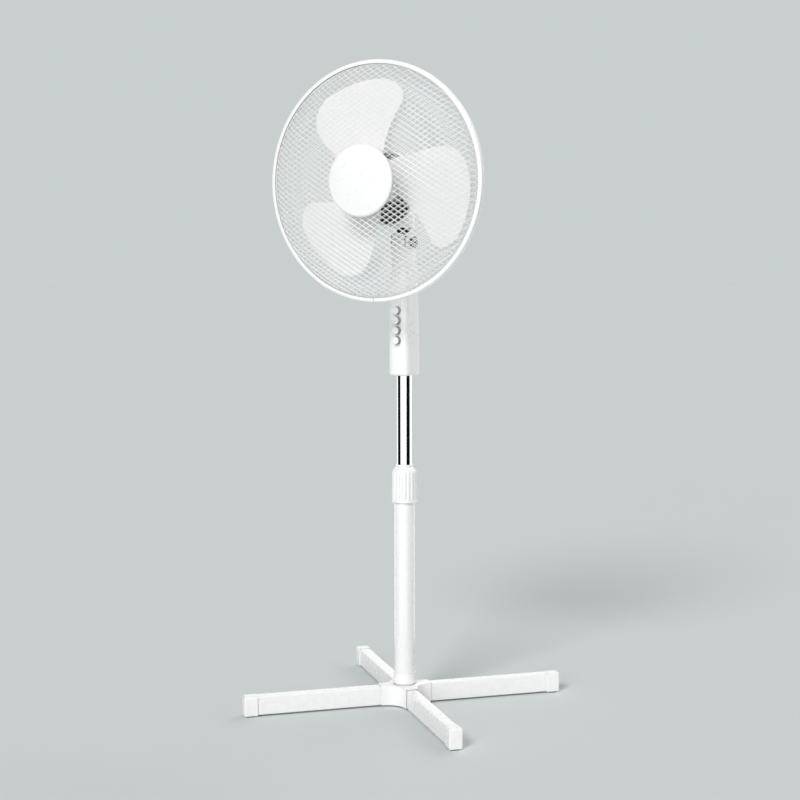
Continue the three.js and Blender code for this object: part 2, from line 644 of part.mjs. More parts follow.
place(head, 'motor_front_bracket', frontBracket(), darkPlastic);
place(head, 'motor_rear_bracket', spinY(sleeve(SHAFT_RADIUS + GAP, 42, -22, -18.4), 24), castAluminium);
place(head, 'stator', spinY(sleeve(STATOR.bore, STATOR.radius, STATOR.front, STATOR.rear)), laminatedSteel);
place(head, 'rotor_core', spinY(sleeve(SHAFT_RADIUS + GAP, 23.6, -54, -26), 24), castAluminium);
place(head, 'motor_shaft',
  spinY([[0, -118], [SHAFT_RADIUS, -118], [SHAFT_RADIUS, -17.9], [SHAFT_TAIL_RADIUS, -17.9],
    [SHAFT_TAIL_RADIUS, 8], [0, 8]], 16),
  zincSteel);
place(head, 'capacitor', box(-38, -17, -17, 8, -8, 8), darkPlastic);

// The cover is a half-egg shell open to the front, with an oval skirt round the neck.
function coverRadius(y) {
  const along = (y - COVER_FRONT) / (COVER_REAR - COVER_FRONT);
  return COVER_RADIUS * Math.sqrt(Math.max(0, 1 - along * along));
}

function coverProfile(inset, front, rear) {
  const steps = 6;
  const profile = [[0, front]];
  for (let step = 0; step < steps; step += 1) {
    const t = Math.sin((step / steps) * (Math.PI / 2));
    const y = COVER_FRONT + t * (COVER_REAR - COVER_FRONT);
    profile.push([coverRadius(y) - inset, Math.min(step === 0 ? front : y - inset * t, rear)]);
  }
  profile.push([0, rear]);
  return profile;
}

const VENT_XS = [-20, -10, 0, 10, 20];
const SKIRT = { halfX: 22, halfY: 30, y: PIVOT_Y - 4 };
const skirtPrism = (inset, z0, z1) =>
  at(new THREE.CylinderGeometry(1, 1, z1 - z0, 24).rotateX(Math.PI / 2)
    .scale(SKIRT.halfX - inset, SKIRT.halfY - inset, 1), 0, SKIRT.y, (z0 + z1) / 2);

function motorCover() {
  const outer = fuller(spinY(coverProfile(0, COVER_FRONT, COVER_REAR), 28));
  const inner = fuller(spinY(coverProfile(COVER_WALL, COVER_FRONT - 1, COVER_REAR - COVER_WALL), 28));
  const shell = toSolid(outer).add(toSolid(skirtPrism(0, local(SKIRT_BOTTOM), -30)));
  let result = shell.subtract(toSolid(inner)).subtract(toSolid(skirtPrism(COVER_WALL, -90, -30)));
  for (const x of VENT_XS) {
    result = result.subtract(toSolid(box(x - 1.5, x + 1.5, 25, 60, -14, 14)));
  }
  const knobHole = at(rodZ(3, 20, 60, 16), WHEEL_X, PIVOT_Y, 0);
  const screwHole = at(rodZ(2, 35, 60, 12), 0, -40, 0);
  return toGeometry(result.subtract(toSolid(knobHole)).subtract(toSolid(screwHole)));
}

place(head, 'motor_cover', motorCover(), whitePlastic);
const coverScrew = spinZ([[0, 45], [1.6, 45], [1.6, 54], [3.4, 54], [3.2, 55.4], [0, 55.8]], 12);
place(head, 'cover_screw', at(coverScrew, 0, -40, 1.8), zincSteel);

// ---------------------------------------------------------------- blades

// Edge points of one blade as radius and angle from its middle: leading edge first, then trailing edge.
const BLADE_LEADING = [[35, -24], [60, -28], [90, -31], [120, -35], [148, -38.5], [165, -37],
  [176, -33], [183.5, -26]];
const BLADE_TRAILING = [[35, 60], [60, 51], [90, 39], [120, 35.5], [148, 31.5], [165, 27],
  [176, 21.5], [183.5, 14]];

function bladePoint(radius, degrees, lift) {
  const angle = ((degrees + BLADE_FACING) * Math.PI) / 180;
  const depth = -BLADE_SETBACK + BLADE_PITCH * ((degrees * Math.PI) / 180);
  return new THREE.Vector3(radius * Math.cos(angle), RING_Y - depth - lift, radius * Math.sin(angle));
}

function blade() {
  const columns = 4;
  const rings = BLADE_LEADING.map(([leadRadius, lead], row) => {
    const [trailRadius, trail] = BLADE_TRAILING[row];
    const front = [];
    const back = [];
    for (let column = 0; column <= columns; column += 1) {
      const t = column / columns;
      const radius = leadRadius + t * (trailRadius - leadRadius);
      const angle = lead + t * (trail - lead);
      front.push(bladePoint(radius, angle, BLADE_THICKNESS / 2));
      back.unshift(bladePoint(radius, angle, -BLADE_THICKNESS / 2));
    }
    return [...front, ...back];
  });
  return loftStrip(rings);
}

// Like loft, with ends closed as strips because the end rings are long and thin.
function loftStrip(rings) {
  const geometry = loft(rings);
  const count = rings[0].length;
  const body = Array.from(geometry.index.array).slice(0, (rings.length - 1) * count * 6);
  const last = (rings.length - 1) * count;
  for (let i = 0; i + 1 < count / 2; i += 1) {
    const [a, b, c, d] = [i, i + 1, count - 2 - i, count - 1 - i];
    body.push(a, c, b, a, d, c);
    body.push(last + a, last + b, last + c, last + a, last + c, last + d);
  }
  geometry.setIndex(body);
  return geometry;
}

const BLADE_HUB = { radius: 38, wall: 2.5, front: -110, rear: -80, bossRadius: 12, bossRear: -82 };

// The hub is a cup open to the rear, round a boss that grips the shaft.
function fanBlade() {
  const { radius, wall, front, rear, bossRadius, bossRear } = BLADE_HUB;
  const floor = front + 5;
  const hub = spinY([[0, front], [radius - 4, front], [radius, front + 4], [radius, rear], [radius - wall, rear],
    [radius - wall, floor], [bossRadius, floor], [bossRadius, bossRear], [0, bossRear]], 18);
  const parts = [hub];
  for (let number = 0; number < BLADE_COUNT; number += 1) {
    parts.push(blade().rotateY((-number * 2 * Math.PI) / BLADE_COUNT));
  }
  const cavityInner = bossRadius + 0.2;
  const cavityOuter = radius - wall - GAP;
  const cavity = spinY(sleeve(cavityInner, cavityOuter, floor + 0.2, rear + 1), 18);
  return combine(parts, [cavity, rodY(SHAFT_RADIUS + GAP, -120, -70, 16)]);
}

place(head, 'fan_blade', fanBlade(), whitePlastic);
const nutBack = -110 - GAP;
const bladeNut = spinY([[SHAFT_RADIUS + GAP, nutBack], [20, nutBack], [19, nutBack - 7], [11, nutBack - 12],
  [0, nutBack - 13], [0, nutBack - 9], [SHAFT_RADIUS + GAP, nutBack - 9], [SHAFT_RADIUS + GAP, nutBack]], 24);
place(head, 'blade_nut', bladeNut, whitePlastic);

// ---------------------------------------------------------------- grilles and ring

const domeDepth = (radius, depth, fullness) =>
  depth * Math.sqrt(Math.max(0, 1 - (radius / DOME_RADIUS) ** fullness));

// A rim wire, a middle ring and a centre ring, joined by spokes that follow the dome.
function grille({ rimY, direction, depth, fullness, centreInner, centreOuter, spokeEnd }) {
  const station = (radius) => RING_Y + direction * domeDepth(radius, depth, fullness);
  const ring = (radius, y, wireRadius, sides) =>
    at(new THREE.TorusGeometry(radius, wireRadius, 4, sides).rotateX(Math.PI / 2), 0, y, 0);
  const parts = [ring(RIM_RADIUS, rimY, RIM_WIRE, 24)];
  const middle = 150;
  parts.push(ring(middle, station(middle), GRILLE_WIRE, 12));
  const centreY = station(centreOuter);
  const plate = sleeve(centreInner, centreOuter + 2, centreY - 1.2, centreY + 1.2);
  parts.push(spinY(plate, 12));
  const radii = [spokeEnd, 120, 165, 188, 203];
  for (let spoke = 0; spoke < GRILLE_SPOKES; spoke += 1) {
    const angle = ((spoke + 0.5) / GRILLE_SPOKES) * 2 * Math.PI;
    const path = radii.map((radius) => [radius, station(radius)]);
    path.push([DOME_RADIUS, rimY], [RIM_RADIUS, rimY]);
    parts.push(spokeWire(path, SPOKE_WIDTH, angle));
  }
  return combine(parts);
}

const frontGrille = { rimY: RING_Y - 2.3, direction: -1, depth: FRONT_DEPTH, fullness: 2.6,
  centreInner: 40, centreOuter: 56, spokeEnd: 54 };
const rearGrille = { rimY: RING_Y + 2.3, direction: 1, depth: REAR_DEPTH, fullness: 5,
  centreInner: 20.2, centreOuter: 34, spokeEnd: 32 };
place(head, 'front_grille', grille(frontGrille), whitePaint);
place(head, 'rear_grille', grille(rearGrille), whitePaint);

const rearPlateY = RING_Y + domeDepth(rearGrille.centreOuter, REAR_DEPTH, rearGrille.fullness);
const grilleNut = spinY(sleeve(19.4, 31, rearPlateY - 1.2 - GAP - 7, rearPlateY - 1.2 - GAP), 24);
place(head, 'grille_nut', grilleNut, darkPlastic);

const capBack = RING_Y - domeDepth(56, FRONT_DEPTH, frontGrille.fullness) - 1.2 - GAP;
const frontCap = spinY([[0, capBack], [FRONT_CAP_RADIUS - 2, capBack], [FRONT_CAP_RADIUS, capBack - 1.5],
  [FRONT_CAP_RADIUS, capBack - 3.5], [FRONT_CAP_RADIUS - 3, capBack - 6], [46, capBack - 8.5],
  [24, capBack - 10], [0, capBack - 10.5]], 32);
place(head, 'front_cap', frontCap, whitePlastic);

// A channel that hooks over both rims, split at the bottom between two lugs.
const LUG = { halfX: 6, y: RING_Y + RING_HALF_WIDTH, z0: -213, z1: -206 };
function guardRing() {
  const front = RING_Y - RING_HALF_WIDTH;
  const rear = RING_Y + RING_HALF_WIDTH;
  const lip = RING_RADIUS - RING_DEPTH;
  const outer = RING_RADIUS - 1.5;
  const profile = [[lip, front], [RING_RADIUS, front], [RING_RADIUS, rear], [lip, rear],
    [lip, rear - 1], [outer, rear - 1], [outer, front + 1], [lip, front + 1], [lip, front]];
  const channel = spinY(profile, 36);
  const lug = box(-LUG.halfX, LUG.halfX, LUG.y - 0.5, LUG.y + 7, LUG.z0, LUG.z1);
  const slit = box(-0.5, 0.5, front - 5, rear + 15, -220, -200);
  return combine([channel, lug], [slit, at(rodX(1.7, -10, 10, 12), 0, LUG.y + 4, -209.5)]);
}
place(head, 'guard_ring', guardRing(), whitePlastic);
const ringScrew = combine([rodX(1.4, -8, 8, 12), rodX(2.8, 6.3, 8, 12), rodX(2.8, -8, -6.3, 6)]);
place(head, 'ring_screw', at(ringScrew, 0, LUG.y + 4, -209.5), zincSteel);

export default fan;
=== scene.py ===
import json
import math

import bmesh
import bpy
import numpy as np
from mathutils import Matrix, Vector


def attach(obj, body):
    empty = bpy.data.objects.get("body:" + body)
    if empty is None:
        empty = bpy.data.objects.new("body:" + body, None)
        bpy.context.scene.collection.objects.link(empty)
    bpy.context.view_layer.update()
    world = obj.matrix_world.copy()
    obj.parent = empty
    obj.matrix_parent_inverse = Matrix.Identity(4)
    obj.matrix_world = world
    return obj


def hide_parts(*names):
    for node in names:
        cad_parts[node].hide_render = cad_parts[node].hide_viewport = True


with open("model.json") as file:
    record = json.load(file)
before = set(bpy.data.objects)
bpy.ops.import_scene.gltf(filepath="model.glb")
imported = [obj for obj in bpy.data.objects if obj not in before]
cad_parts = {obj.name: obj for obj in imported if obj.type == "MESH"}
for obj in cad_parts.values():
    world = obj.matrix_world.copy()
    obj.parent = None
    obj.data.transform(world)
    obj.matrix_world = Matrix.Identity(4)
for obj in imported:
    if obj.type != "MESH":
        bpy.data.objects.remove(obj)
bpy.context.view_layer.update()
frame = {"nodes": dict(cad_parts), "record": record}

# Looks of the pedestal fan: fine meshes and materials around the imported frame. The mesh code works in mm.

MM = 0.001


# ------------------------------------------------------------------ sizes shared with the CAD part

GAP = 0.3
CLEARANCE = 0.25
ARMS = {"front_right": -45, "rear_right": 45, "rear_left": 135, "front_left": -135}  # degrees about Z
ARM_REACH = 310.5
ARM_START = 22
ARM_WIDTH = 20.5
ARM_BOTTOM = 3
ARM_TOP = 38.4
ARM_WALL = 1.2
CAP_LENGTH = 25
CAP_WIDTH = 24.5
CAP_BOTTOM = 1.5
CAP_TOP = 39
CAP_GRIP = 8
CAP_CORNER = 4
CAP_NOSE = 2.4
HUB_REACH = 49
HUB_HALF_WIDTH = 12.2
HUB_FILLET = 34
HUB_BOTTOM = 2.7
HUB_TOP = 40
BASE_BOLT_BORE = 4.5
COLLAR_TOP = 64
COLLAR_RADIUS = 21.5
LOWER_TUBE_RADIUS = 19.2
LOWER_TUBE_BOTTOM = 14
LOWER_TUBE_TOP = 396
INNER_TUBE_RADIUS = 13.75
INNER_TUBE_BOTTOM = 250
INNER_TUBE_TOP = 676
NUT_BOTTOM = 387
NUT_TOP = 458
NUT_RADIUS = 23.4
NUT_FLUTES = 18
NUT_CAVITY_BOTTOM = 401
NUT_CAVITY_TOP = 438
NUT_CAVITY_RADIUS = 18.4
NUT_MOUTH_RADIUS = 14.2
PIVOT_Y = -4
TILT_Z = 872
BOLT_BORE = 4.3
NECK_COLLAR_BOTTOM = 884
NECK_COLLAR_TOP = 903
LINK_PIN_X = 12.5
LINK_PIN_Y = PIVOT_Y - 4
KNOB_X = 16.86
HEAD_Z = 980
SHAFT_BORE = 4.3
COVER_RADIUS = 54.5
COVER_FRONT = -62
COVER_REAR = 53.6
COVER_WIDENING = 0.046
COVER_DEEPENING = 0.23
COVER_DROP = 11
COVER_SCREW_Y = -40
VENT_XS = range(-20, 21, 10)
BUTTON_TOP = 747
BUTTON_PITCH = 18.4
BUTTON_ZS = [BUTTON_TOP - row * BUTTON_PITCH for row in range(4)]
SCREW_ZS = (774, 822)
INLET_Z = 646
HOUSING_BOTTOM = 629
HOUSING_TOP = 888
HOUSING_WALL = 2
HOUSING_CORNER = 14
HOUSING_NOTCH_BOTTOM = 864
HOUSING_NOTCH_FRONT = -23.9
HOUSING_PAST = 40  # a reach that is well outside the housing, for what cuts it
FOOT_ROUND = 3.6
HOUSING_SECTIONS = [  # height, half width, front, rear
    (HOUSING_BOTTOM, 21.5, -27, 28),
    (700, 20.8, -27, 27.6),
    (770, 19.8, -26.8, 26.5),
    (820, 18.9, -26.2, 25),
    (860, 18.2, -26, 19),
    (HOUSING_TOP, 18, -26, 16.5),
]
HOUSING_LEVELS = list(np.linspace(HOUSING_BOTTOM + 3, HOUSING_TOP, 34))


# ------------------------------------------------------------------ sizes of the blades and the cage

BLADE_FACING = 112
BLADE_SETBACK = 13.3
BLADE_PITCH = 18.2
BLADE_CAMBER = 3.5
BLADE_REACH = 184
BLADE_LEADING = [  # radius and angle of points along the leading edge
    (35, -24), (60, -28), (90, -31), (120, -35), (148, -38.5), (165, -37), (176, -33), (183.5, -26)]
BLADE_TRAILING = [
    (35, 60), (60, 51), (90, 39), (120, 35.5), (148, 31.5), (165, 27), (176, 21.5), (183.5, 14)]
RING_Y = -110
RING_RADIUS = 215
RIM_RADIUS = 210.6
DOME_RADIUS = 206.3
FRONT_DEPTH = 48
FRONT_FULLNESS = 2.6
FRONT_HOLE = 56
REAR_DEPTH = 44
REAR_FULLNESS = 5
REAR_HOLE = 34
WIRE_TILT = 31.6  # both wire families, degrees from level
WIRE_SPACING = 8.4
WIRE_RADIUS = 0.68
WIRE_LIFT = 0.62
SHORTEST_WIRE = 28


# ------------------------------------------------------------------ camera, floor and light

CAMERA_AZIMUTH = 28.413
CAMERA_DISTANCE = 3.0621
CAMERA_HEIGHT = 0.8615
CAMERA_YAW = 0.151
CAMERA_PITCH = 5.272
CAMERA_ROLL = -0.084
CAMERA_FOCAL = 74.08
FLOOR_RADIUS = 36000
FLOOR_COLOUR = (0.642, 0.684, 0.687, 1)
BACKDROP_GLOW = (0.583, 0.624, 0.626, 1)
WORLD_COLOUR = (0.212, 0.22, 0.221, 1)
LAMP_COLOUR = (1.0, 0.99, 0.985)
CARD_RADIUS = 460
CARD_BOTTOM = 2
CARD_TOP = 1400


def make_camera():
    azimuth = math.radians(CAMERA_AZIMUTH)
    heading = math.radians(CAMERA_AZIMUTH + CAMERA_YAW)
    pitch = math.radians(CAMERA_PITCH)
    roll = math.radians(CAMERA_ROLL)
    place = Vector((math.sin(azimuth) * CAMERA_DISTANCE, -math.cos(azimuth) * CAMERA_DISTANCE,
                    CAMERA_HEIGHT))
    look = Vector((-math.sin(heading) * math.cos(pitch), math.cos(heading) * math.cos(pitch),
                   -math.sin(pitch)))
    level = Vector((math.cos(heading), math.sin(heading), 0))
    upright = level.cross(look)
    right = level * math.cos(roll) + upright * math.sin(roll)
    up = upright * math.cos(roll) - level * math.sin(roll)
    data = bpy.data.cameras.new("camera")
    data.lens = CAMERA_FOCAL
    data.sensor_width = 36
    camera = bpy.data.objects.new("camera", data)
    rotation = Matrix((right, up, -look)).transposed().to_4x4()
    camera.matrix_world = Matrix.Translation(place) @ rotation
    bpy.context.scene.collection.objects.link(camera)
    bpy.context.scene.camera = camera


# ------------------------------------------------------------------ materials


def principled(name):
    material = bpy.data.materials.new(name)
    material.use_nodes = True
    tree = material.node_tree
    return material, tree, tree.nodes["Principled BSDF"]


def noise(tree, scale, detail=3.0, stretch=(1, 1, 1)):
    coordinates = tree.nodes.new("ShaderNodeTexCoord")
    mapping = tree.nodes.new("ShaderNodeMapping")
    mapping.inputs["Scale"].default_value = stretch
    texture = tree.nodes.new("ShaderNodeTexNoise")
    texture.inputs["Scale"].default_value = scale
    texture.inputs["Detail"].default_value = detail
    tree.links.new(coordinates.outputs["Object"], mapping.inputs["Vector"])
    tree.links.new(mapping.outputs["Vector"], texture.inputs["Vector"])
    return texture.outputs["Fac"]


def spread(tree, value, low, high):
    """Maps the middle of a noise's range to the span from low to high."""
    ramp = tree.nodes.new("ShaderNodeMapRange")
    ramp.inputs["From Min"].default_value = 0.3
    ramp.inputs["From Max"].default_value = 0.7
    ramp.inputs["To Min"].default_value = low
    ramp.inputs["To Max"].default_value = high
    tree.links.new(value, ramp.inputs["Value"])
    return ramp.outputs["Result"]


def tint(tree, value, dark, light):
    mix = tree.nodes.new("ShaderNodeMix")
    mix.data_type = "RGBA"
    mix.inputs["A"].default_value = (*dark, 1)
    mix.inputs["B"].default_value = (*light, 1)
    tree.links.new(value, mix.inputs["Factor"])
    return mix.outputs["Result"]


def bump(tree, value, height, normal=None):
    node = tree.nodes.new("ShaderNodeBump")
    node.inputs["Distance"].default_value = height
    node.inputs["Strength"].default_value = 1.0
    tree.links.new(value, node.inputs["Height"])
    if normal:
        tree.links.new(normal, node.inputs["Normal"])
    return node.outputs["Normal"]


def surface(name, dark, light, roughness, metallic=0.0, cloud=14, grain=700, height=0.00002,
            stretch=(1, 1, 1), coat=0.0, coat_roughness=0.1, subsurface=0.0, specular=0.5):
    """A procedural surface: clouded colour, uneven gloss, and a fine grain in relief."""
    material, tree, shader = principled(name)
    clouds = noise(tree, cloud, 4.0)
    tree.links.new(tint(tree, spread(tree, clouds, 0, 1), dark, light), shader.inputs["Base Color"])
    gloss = noise(tree, cloud * 6, 4.0, stretch)
    tree.links.new(spread(tree, gloss, roughness[0], roughness[1]), shader.inputs["Roughness"])
    coarse = bump(tree, noise(tree, grain / 6, 2.0, stretch), height * 3)
    tree.links.new(bump(tree, noise(tree, grain, 3.0, stretch), height, coarse), shader.inputs["Normal"])
    shader.inputs["Metallic"].default_value = metallic
    shader.inputs["Coat Weight"].default_value = coat
    shader.inputs["Coat Roughness"].default_value = coat_roughness
    shader.inputs["Specular IOR Level"].default_value = specular
    if subsurface:
        shader.inputs["Subsurface Weight"].default_value = subsurface
        shader.inputs["Subsurface Radius"].default_value = (0.004, 0.004, 0.0035)
        shader.inputs["Subsurface Scale"].default_value = 0.5
    return material


MATERIALS = {
    "white_plastic": surface("moulded_white", (0.846, 0.846, 0.842), (0.860, 0.860, 0.856), (0.26, 0.32),
                             grain=900, height=0.0000005, subsurface=0.04),
    "blade_plastic": surface("blade_white", (0.838, 0.838, 0.836), (0.852, 0.852, 0.85), (0.30, 0.37),
                             cloud=9, grain=900, height=0.0000005, subsurface=0.12),
    "white_paint": surface("powder_coat", (0.838, 0.838, 0.834), (0.852, 0.852, 0.848), (0.24, 0.30),
                           cloud=10, grain=800, height=0.0000006, coat=0.3, coat_roughness=0.12),
    "white_wire": surface("coated_wire", (0.845, 0.845, 0.843), (0.86, 0.86, 0.858), (0.3, 0.38),
                          cloud=30, grain=900, height=0.000002),
    "grey_plastic": surface("grey_moulded", (0.30, 0.31, 0.32), (0.38, 0.39, 0.40), (0.42, 0.56),
                            height=0.00003),
    "dark_plastic": surface("dark_moulded", (0.022, 0.022, 0.024), (0.040, 0.040, 0.043), (0.38, 0.55),
                            height=0.00004),
    "rubber": surface("black_rubber", (0.014, 0.014, 0.014), (0.028, 0.028, 0.027), (0.7, 0.9),
                      grain=500, height=0.00006, specular=0.3),
    "chrome": surface("polished_chrome", (0.80, 0.81, 0.82), (0.88, 0.89, 0.90), (0.03, 0.07),
                      metallic=1.0, grain=260, height=0.000002, stretch=(1, 1, 0.12)),
    "zinc_steel": surface("zinc_plate", (0.42, 0.43, 0.45), (0.62, 0.63, 0.65), (0.25, 0.42),
                          metallic=1.0, cloud=60, height=0.00001),
    "motor_steel": surface("lamination_steel", (0.16, 0.165, 0.17), (0.27, 0.275, 0.28), (0.4, 0.6),
                           metallic=0.9, cloud=40, grain=600, stretch=(1, 5, 1), height=0.00004),
    "cast_aluminium": surface("cast_alloy", (0.45, 0.455, 0.46), (0.6, 0.605, 0.61), (0.4, 0.55),
                              metallic=1.0, cloud=50, grain=450, height=0.00005),
    "brass": surface("turned_brass", (0.55, 0.40, 0.16), (0.72, 0.56, 0.27), (0.2, 0.35),
                     metallic=1.0, cloud=50, height=0.00001),
    "nylon": surface("natural_nylon", (0.70, 0.68, 0.60), (0.80, 0.78, 0.71), (0.4, 0.55),
                     height=0.00002, subsurface=0.1),
}


# ------------------------------------------------------------------ mesh helpers


class Shape:
    """Points in mm and faces, joined from parts."""

    def __init__(self, points=(), faces=()):
        self.points = [tuple(point) for point in points]
        self.faces = [tuple(face) for face in faces]

    def add(self, other):
        start = len(self.points)
        self.points += other.points
        self.faces += [tuple(start + i for i in face) for face in other.faces]
        return self

    def moved(self, x=0.0, y=0.0, z=0.0):
        return Shape([(a + x, b + y, c + z) for a, b, c in self.points], self.faces)

    def turned(self, degrees, axis="Z"):
        rotation = Matrix.Rotation(math.radians(degrees), 3, axis)
        return Shape([rotation @ Vector(point) for point in self.points], self.faces)


def rounded(corners, steps=5, closed=False):
    """A path whose corners (x, y, radius) become arcs."""
    path = []
    count = len(corners)
    for i, (x, y, radius) in enumerate(corners):
        ends = not closed and i in (0, count - 1)
        if ends or radius == 0:
            path.append((x, y))
            continue
        here = Vector((x, y))
        before = Vector(corners[i - 1][:2]) - here
        after = Vector(corners[(i + 1) % count][:2]) - here
        reach = min(radius, before.length * 0.49, after.length * 0.49)
        start = here + before.normalized() * reach
        end = here + after.normalized() * reach
        for step in range(steps + 1):
            t = step / steps
            point = start * (1 - t) ** 2 + here * (2 * t * (1 - t)) + end * t ** 2
            path.append((point.x, point.y))
    return path


def lathe(profile, axis="Z", sides=72, closed=False):
    """Turns (radius, station) points about Z or Y."""
    shape = Shape()
    rings = []
    for radius, station in profile:
        if radius < 1e-6:
            shape.points.append((0, 0, station) if axis == "Z" else (0, station, 0))
            rings.append([len(shape.points) - 1] * sides)
            continue
        start = len(shape.points)
        for side in range(sides):
            angle = 2 * math.pi * side / sides
            a, b = radius * math.cos(angle), radius * math.sin(angle)
            shape.points.append((a, b, station) if axis == "Z" else (a, station, b))
        rings.append(list(range(start, start + sides)))
    pairs = list(zip(rings, rings[1:]))
    if closed:
        pairs.append((rings[-1], rings[0]))
    for low, high in pairs:
        for side in range(sides):
            after = (side + 1) % sides
            face = [low[side], low[after], high[after], high[side]]
            face = [corner for n, corner in enumerate(face) if corner not in face[:n]]
            if len(face) > 2:
                shape.faces.append(tuple(face))
    return shape


def skin(rings, closed=False):
    """Joins equal rings of points; the last ring is joined to the first, or else both ends are capped."""
    count = len(rings[0])
    shape = Shape([point for ring in rings for point in ring])
    for row in range(len(rings) - 1):
        for i in range(count):
            a, b = row * count + i, row * count + (i + 1) % count
            shape.faces.append((a, b, b + count, a + count))
    if closed:
        last = (len(rings) - 1) * count
        for i in range(count):
            j = (i + 1) % count
            shape.faces.append((last + i, last + j, j, i))
    else:
        shape.faces.append(tuple(range(count))[::-1])
        shape.faces.append(tuple(range(len(shape.points) - count, len(shape.points))))
    return shape


def sweep(path, radius, sides=6, closed=False):
    """A round wire along a list of points, with frames carried along it."""
    points = np.array(path, float)
    if closed:
        tangents = np.roll(points, -1, 0) - np.roll(points, 1, 0)
    else:
        tangents = np.gradient(points, axis=0)
    tangents /= np.linalg.norm(tangents, axis=1)[:, None]
    side = np.cross(tangents[0], (0.0, 1.0, 0.0) if abs(tangents[0][1]) < 0.9 else (1.0, 0.0, 0.0))
    rings = []
    angles = np.arange(sides) * 2 * math.pi / sides
    for point, tangent in zip(points, tangents):
        side = side - tangent * side.dot(tangent)
        side /= np.linalg.norm(side)
        other = np.cross(tangent, side)
        rings.append(point + radius * (np.cos(angles)[:, None] * side + np.sin(angles)[:, None] * other))
    return skin(rings, closed)


def make_object(name, shape, slot, sharp=35):
    mesh = bpy.data.meshes.new(name)
    mesh.from_pydata([(x * MM, y * MM, z * MM) for x, y, z in shape.points], [], shape.faces)
    work = bmesh.new()
    work.from_mesh(mesh)
    bmesh.ops.recalc_face_normals(work, faces=work.faces)
    work.to_mesh(mesh)
    work.free()
    mesh.materials.append(MATERIALS[slot])
    obj = bpy.data.objects.new(name, mesh)
    bpy.context.scene.collection.objects.link(obj)
    smooth(obj, sharp)
    return obj


def smooth(obj, sharp=35):
    mesh = obj.data
    mesh.polygons.foreach_set("use_smooth", [True] * len(mesh.polygons))
    mesh.set_sharp_from_angle(angle=math.radians(sharp))
    mesh.update()


def settle(obj):
    """Applies the object's modifiers."""
    bpy.context.view_layer.update()
    evaluated = obj.evaluated_get(bpy.context.evaluated_depsgraph_get())
    mesh = bpy.data.meshes.new_from_object(evaluated)
    obj.modifiers.clear()
    obj.data = mesh


def combine(obj, shape, operation="DIFFERENCE"):
    tool = make_object("tool", shape, "white_plastic")
    modifier = obj.modifiers.new("combine", "BOOLEAN")
    modifier.operation = operation
    modifier.solver = "EXACT"
    modifier.object = tool
    settle(obj)
    bpy.data.objects.remove(tool)


def bevel(obj, width, segments=3, angle=35):
    modifier = obj.modifiers.new("bevel", "BEVEL")
    modifier.width = width * MM
    modifier.segments = segments
    modifier.limit_method = "ANGLE"
    modifier.angle_limit = math.radians(angle)
    modifier.harden_normals = False
    settle(obj)


def shift(obj, x, y, z):
    obj.data.transform(Matrix.Translation((x * MM, y * MM, z * MM)))


def finished(obj, body, slot, *nodes, sharp=35):
    smooth(obj, sharp)
    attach(obj, body)
    if nodes:
        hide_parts(*nodes)
    return obj


def piece(name, shape, body, slot, *nodes, sharp=35):
    return finished(make_object(name, shape, slot), body, slot, *nodes, sharp=sharp)


def rounded_rectangle(x0, x1, y0, y1, radius, steps=6):
    corners = [(x0, y0, radius), (x1, y0, radius), (x1, y1, radius), (x0, y1, radius)]
    return rounded(corners, steps, closed=True)


def block(x0, x1, y0, y1, z0, z1):
    return extruded([(x0, y0), (x1, y0), (x1, y1), (x0, y1)], z0, z1)


def extruded(outline, low, high, axis="Z"):
    """Gives depth to a flat outline: one in X and Y along Z, or one in X and Z along Y."""
    if axis == "Y":
        return skin([[(x, y, z) for x, z in outline] for y in (low, high)])
    return skin([[(x, y, z) for x, y in outline] for z in (low, high)])


def rod(radius, low, high, axis="Z", sides=48):
    shape = lathe([(0, low), (radius, low), (radius, high), (0, high)], "Y" if axis == "Y" else "Z", sides)
    return shape.turned(90, "Y") if axis == "X" else shape


# ------------------------------------------------------------------ base


def cross_outline(reach, half_width, fillet, steps=14):
    outline = []
    centre = half_width + fillet
    for arm in range(4):
        turn = Matrix.Rotation(math.radians(90 * arm + 45), 2)
        local = [(reach, -half_width), (reach, half_width)]
        for step in range(steps + 1):
            angle = -math.pi / 2 - step / steps * math.pi / 2
            local.append((centre + fillet * math.cos(angle), centre + fillet * math.sin(angle)))
        outline += [tuple(turn @ Vector(point)) for point in local]
    return outline


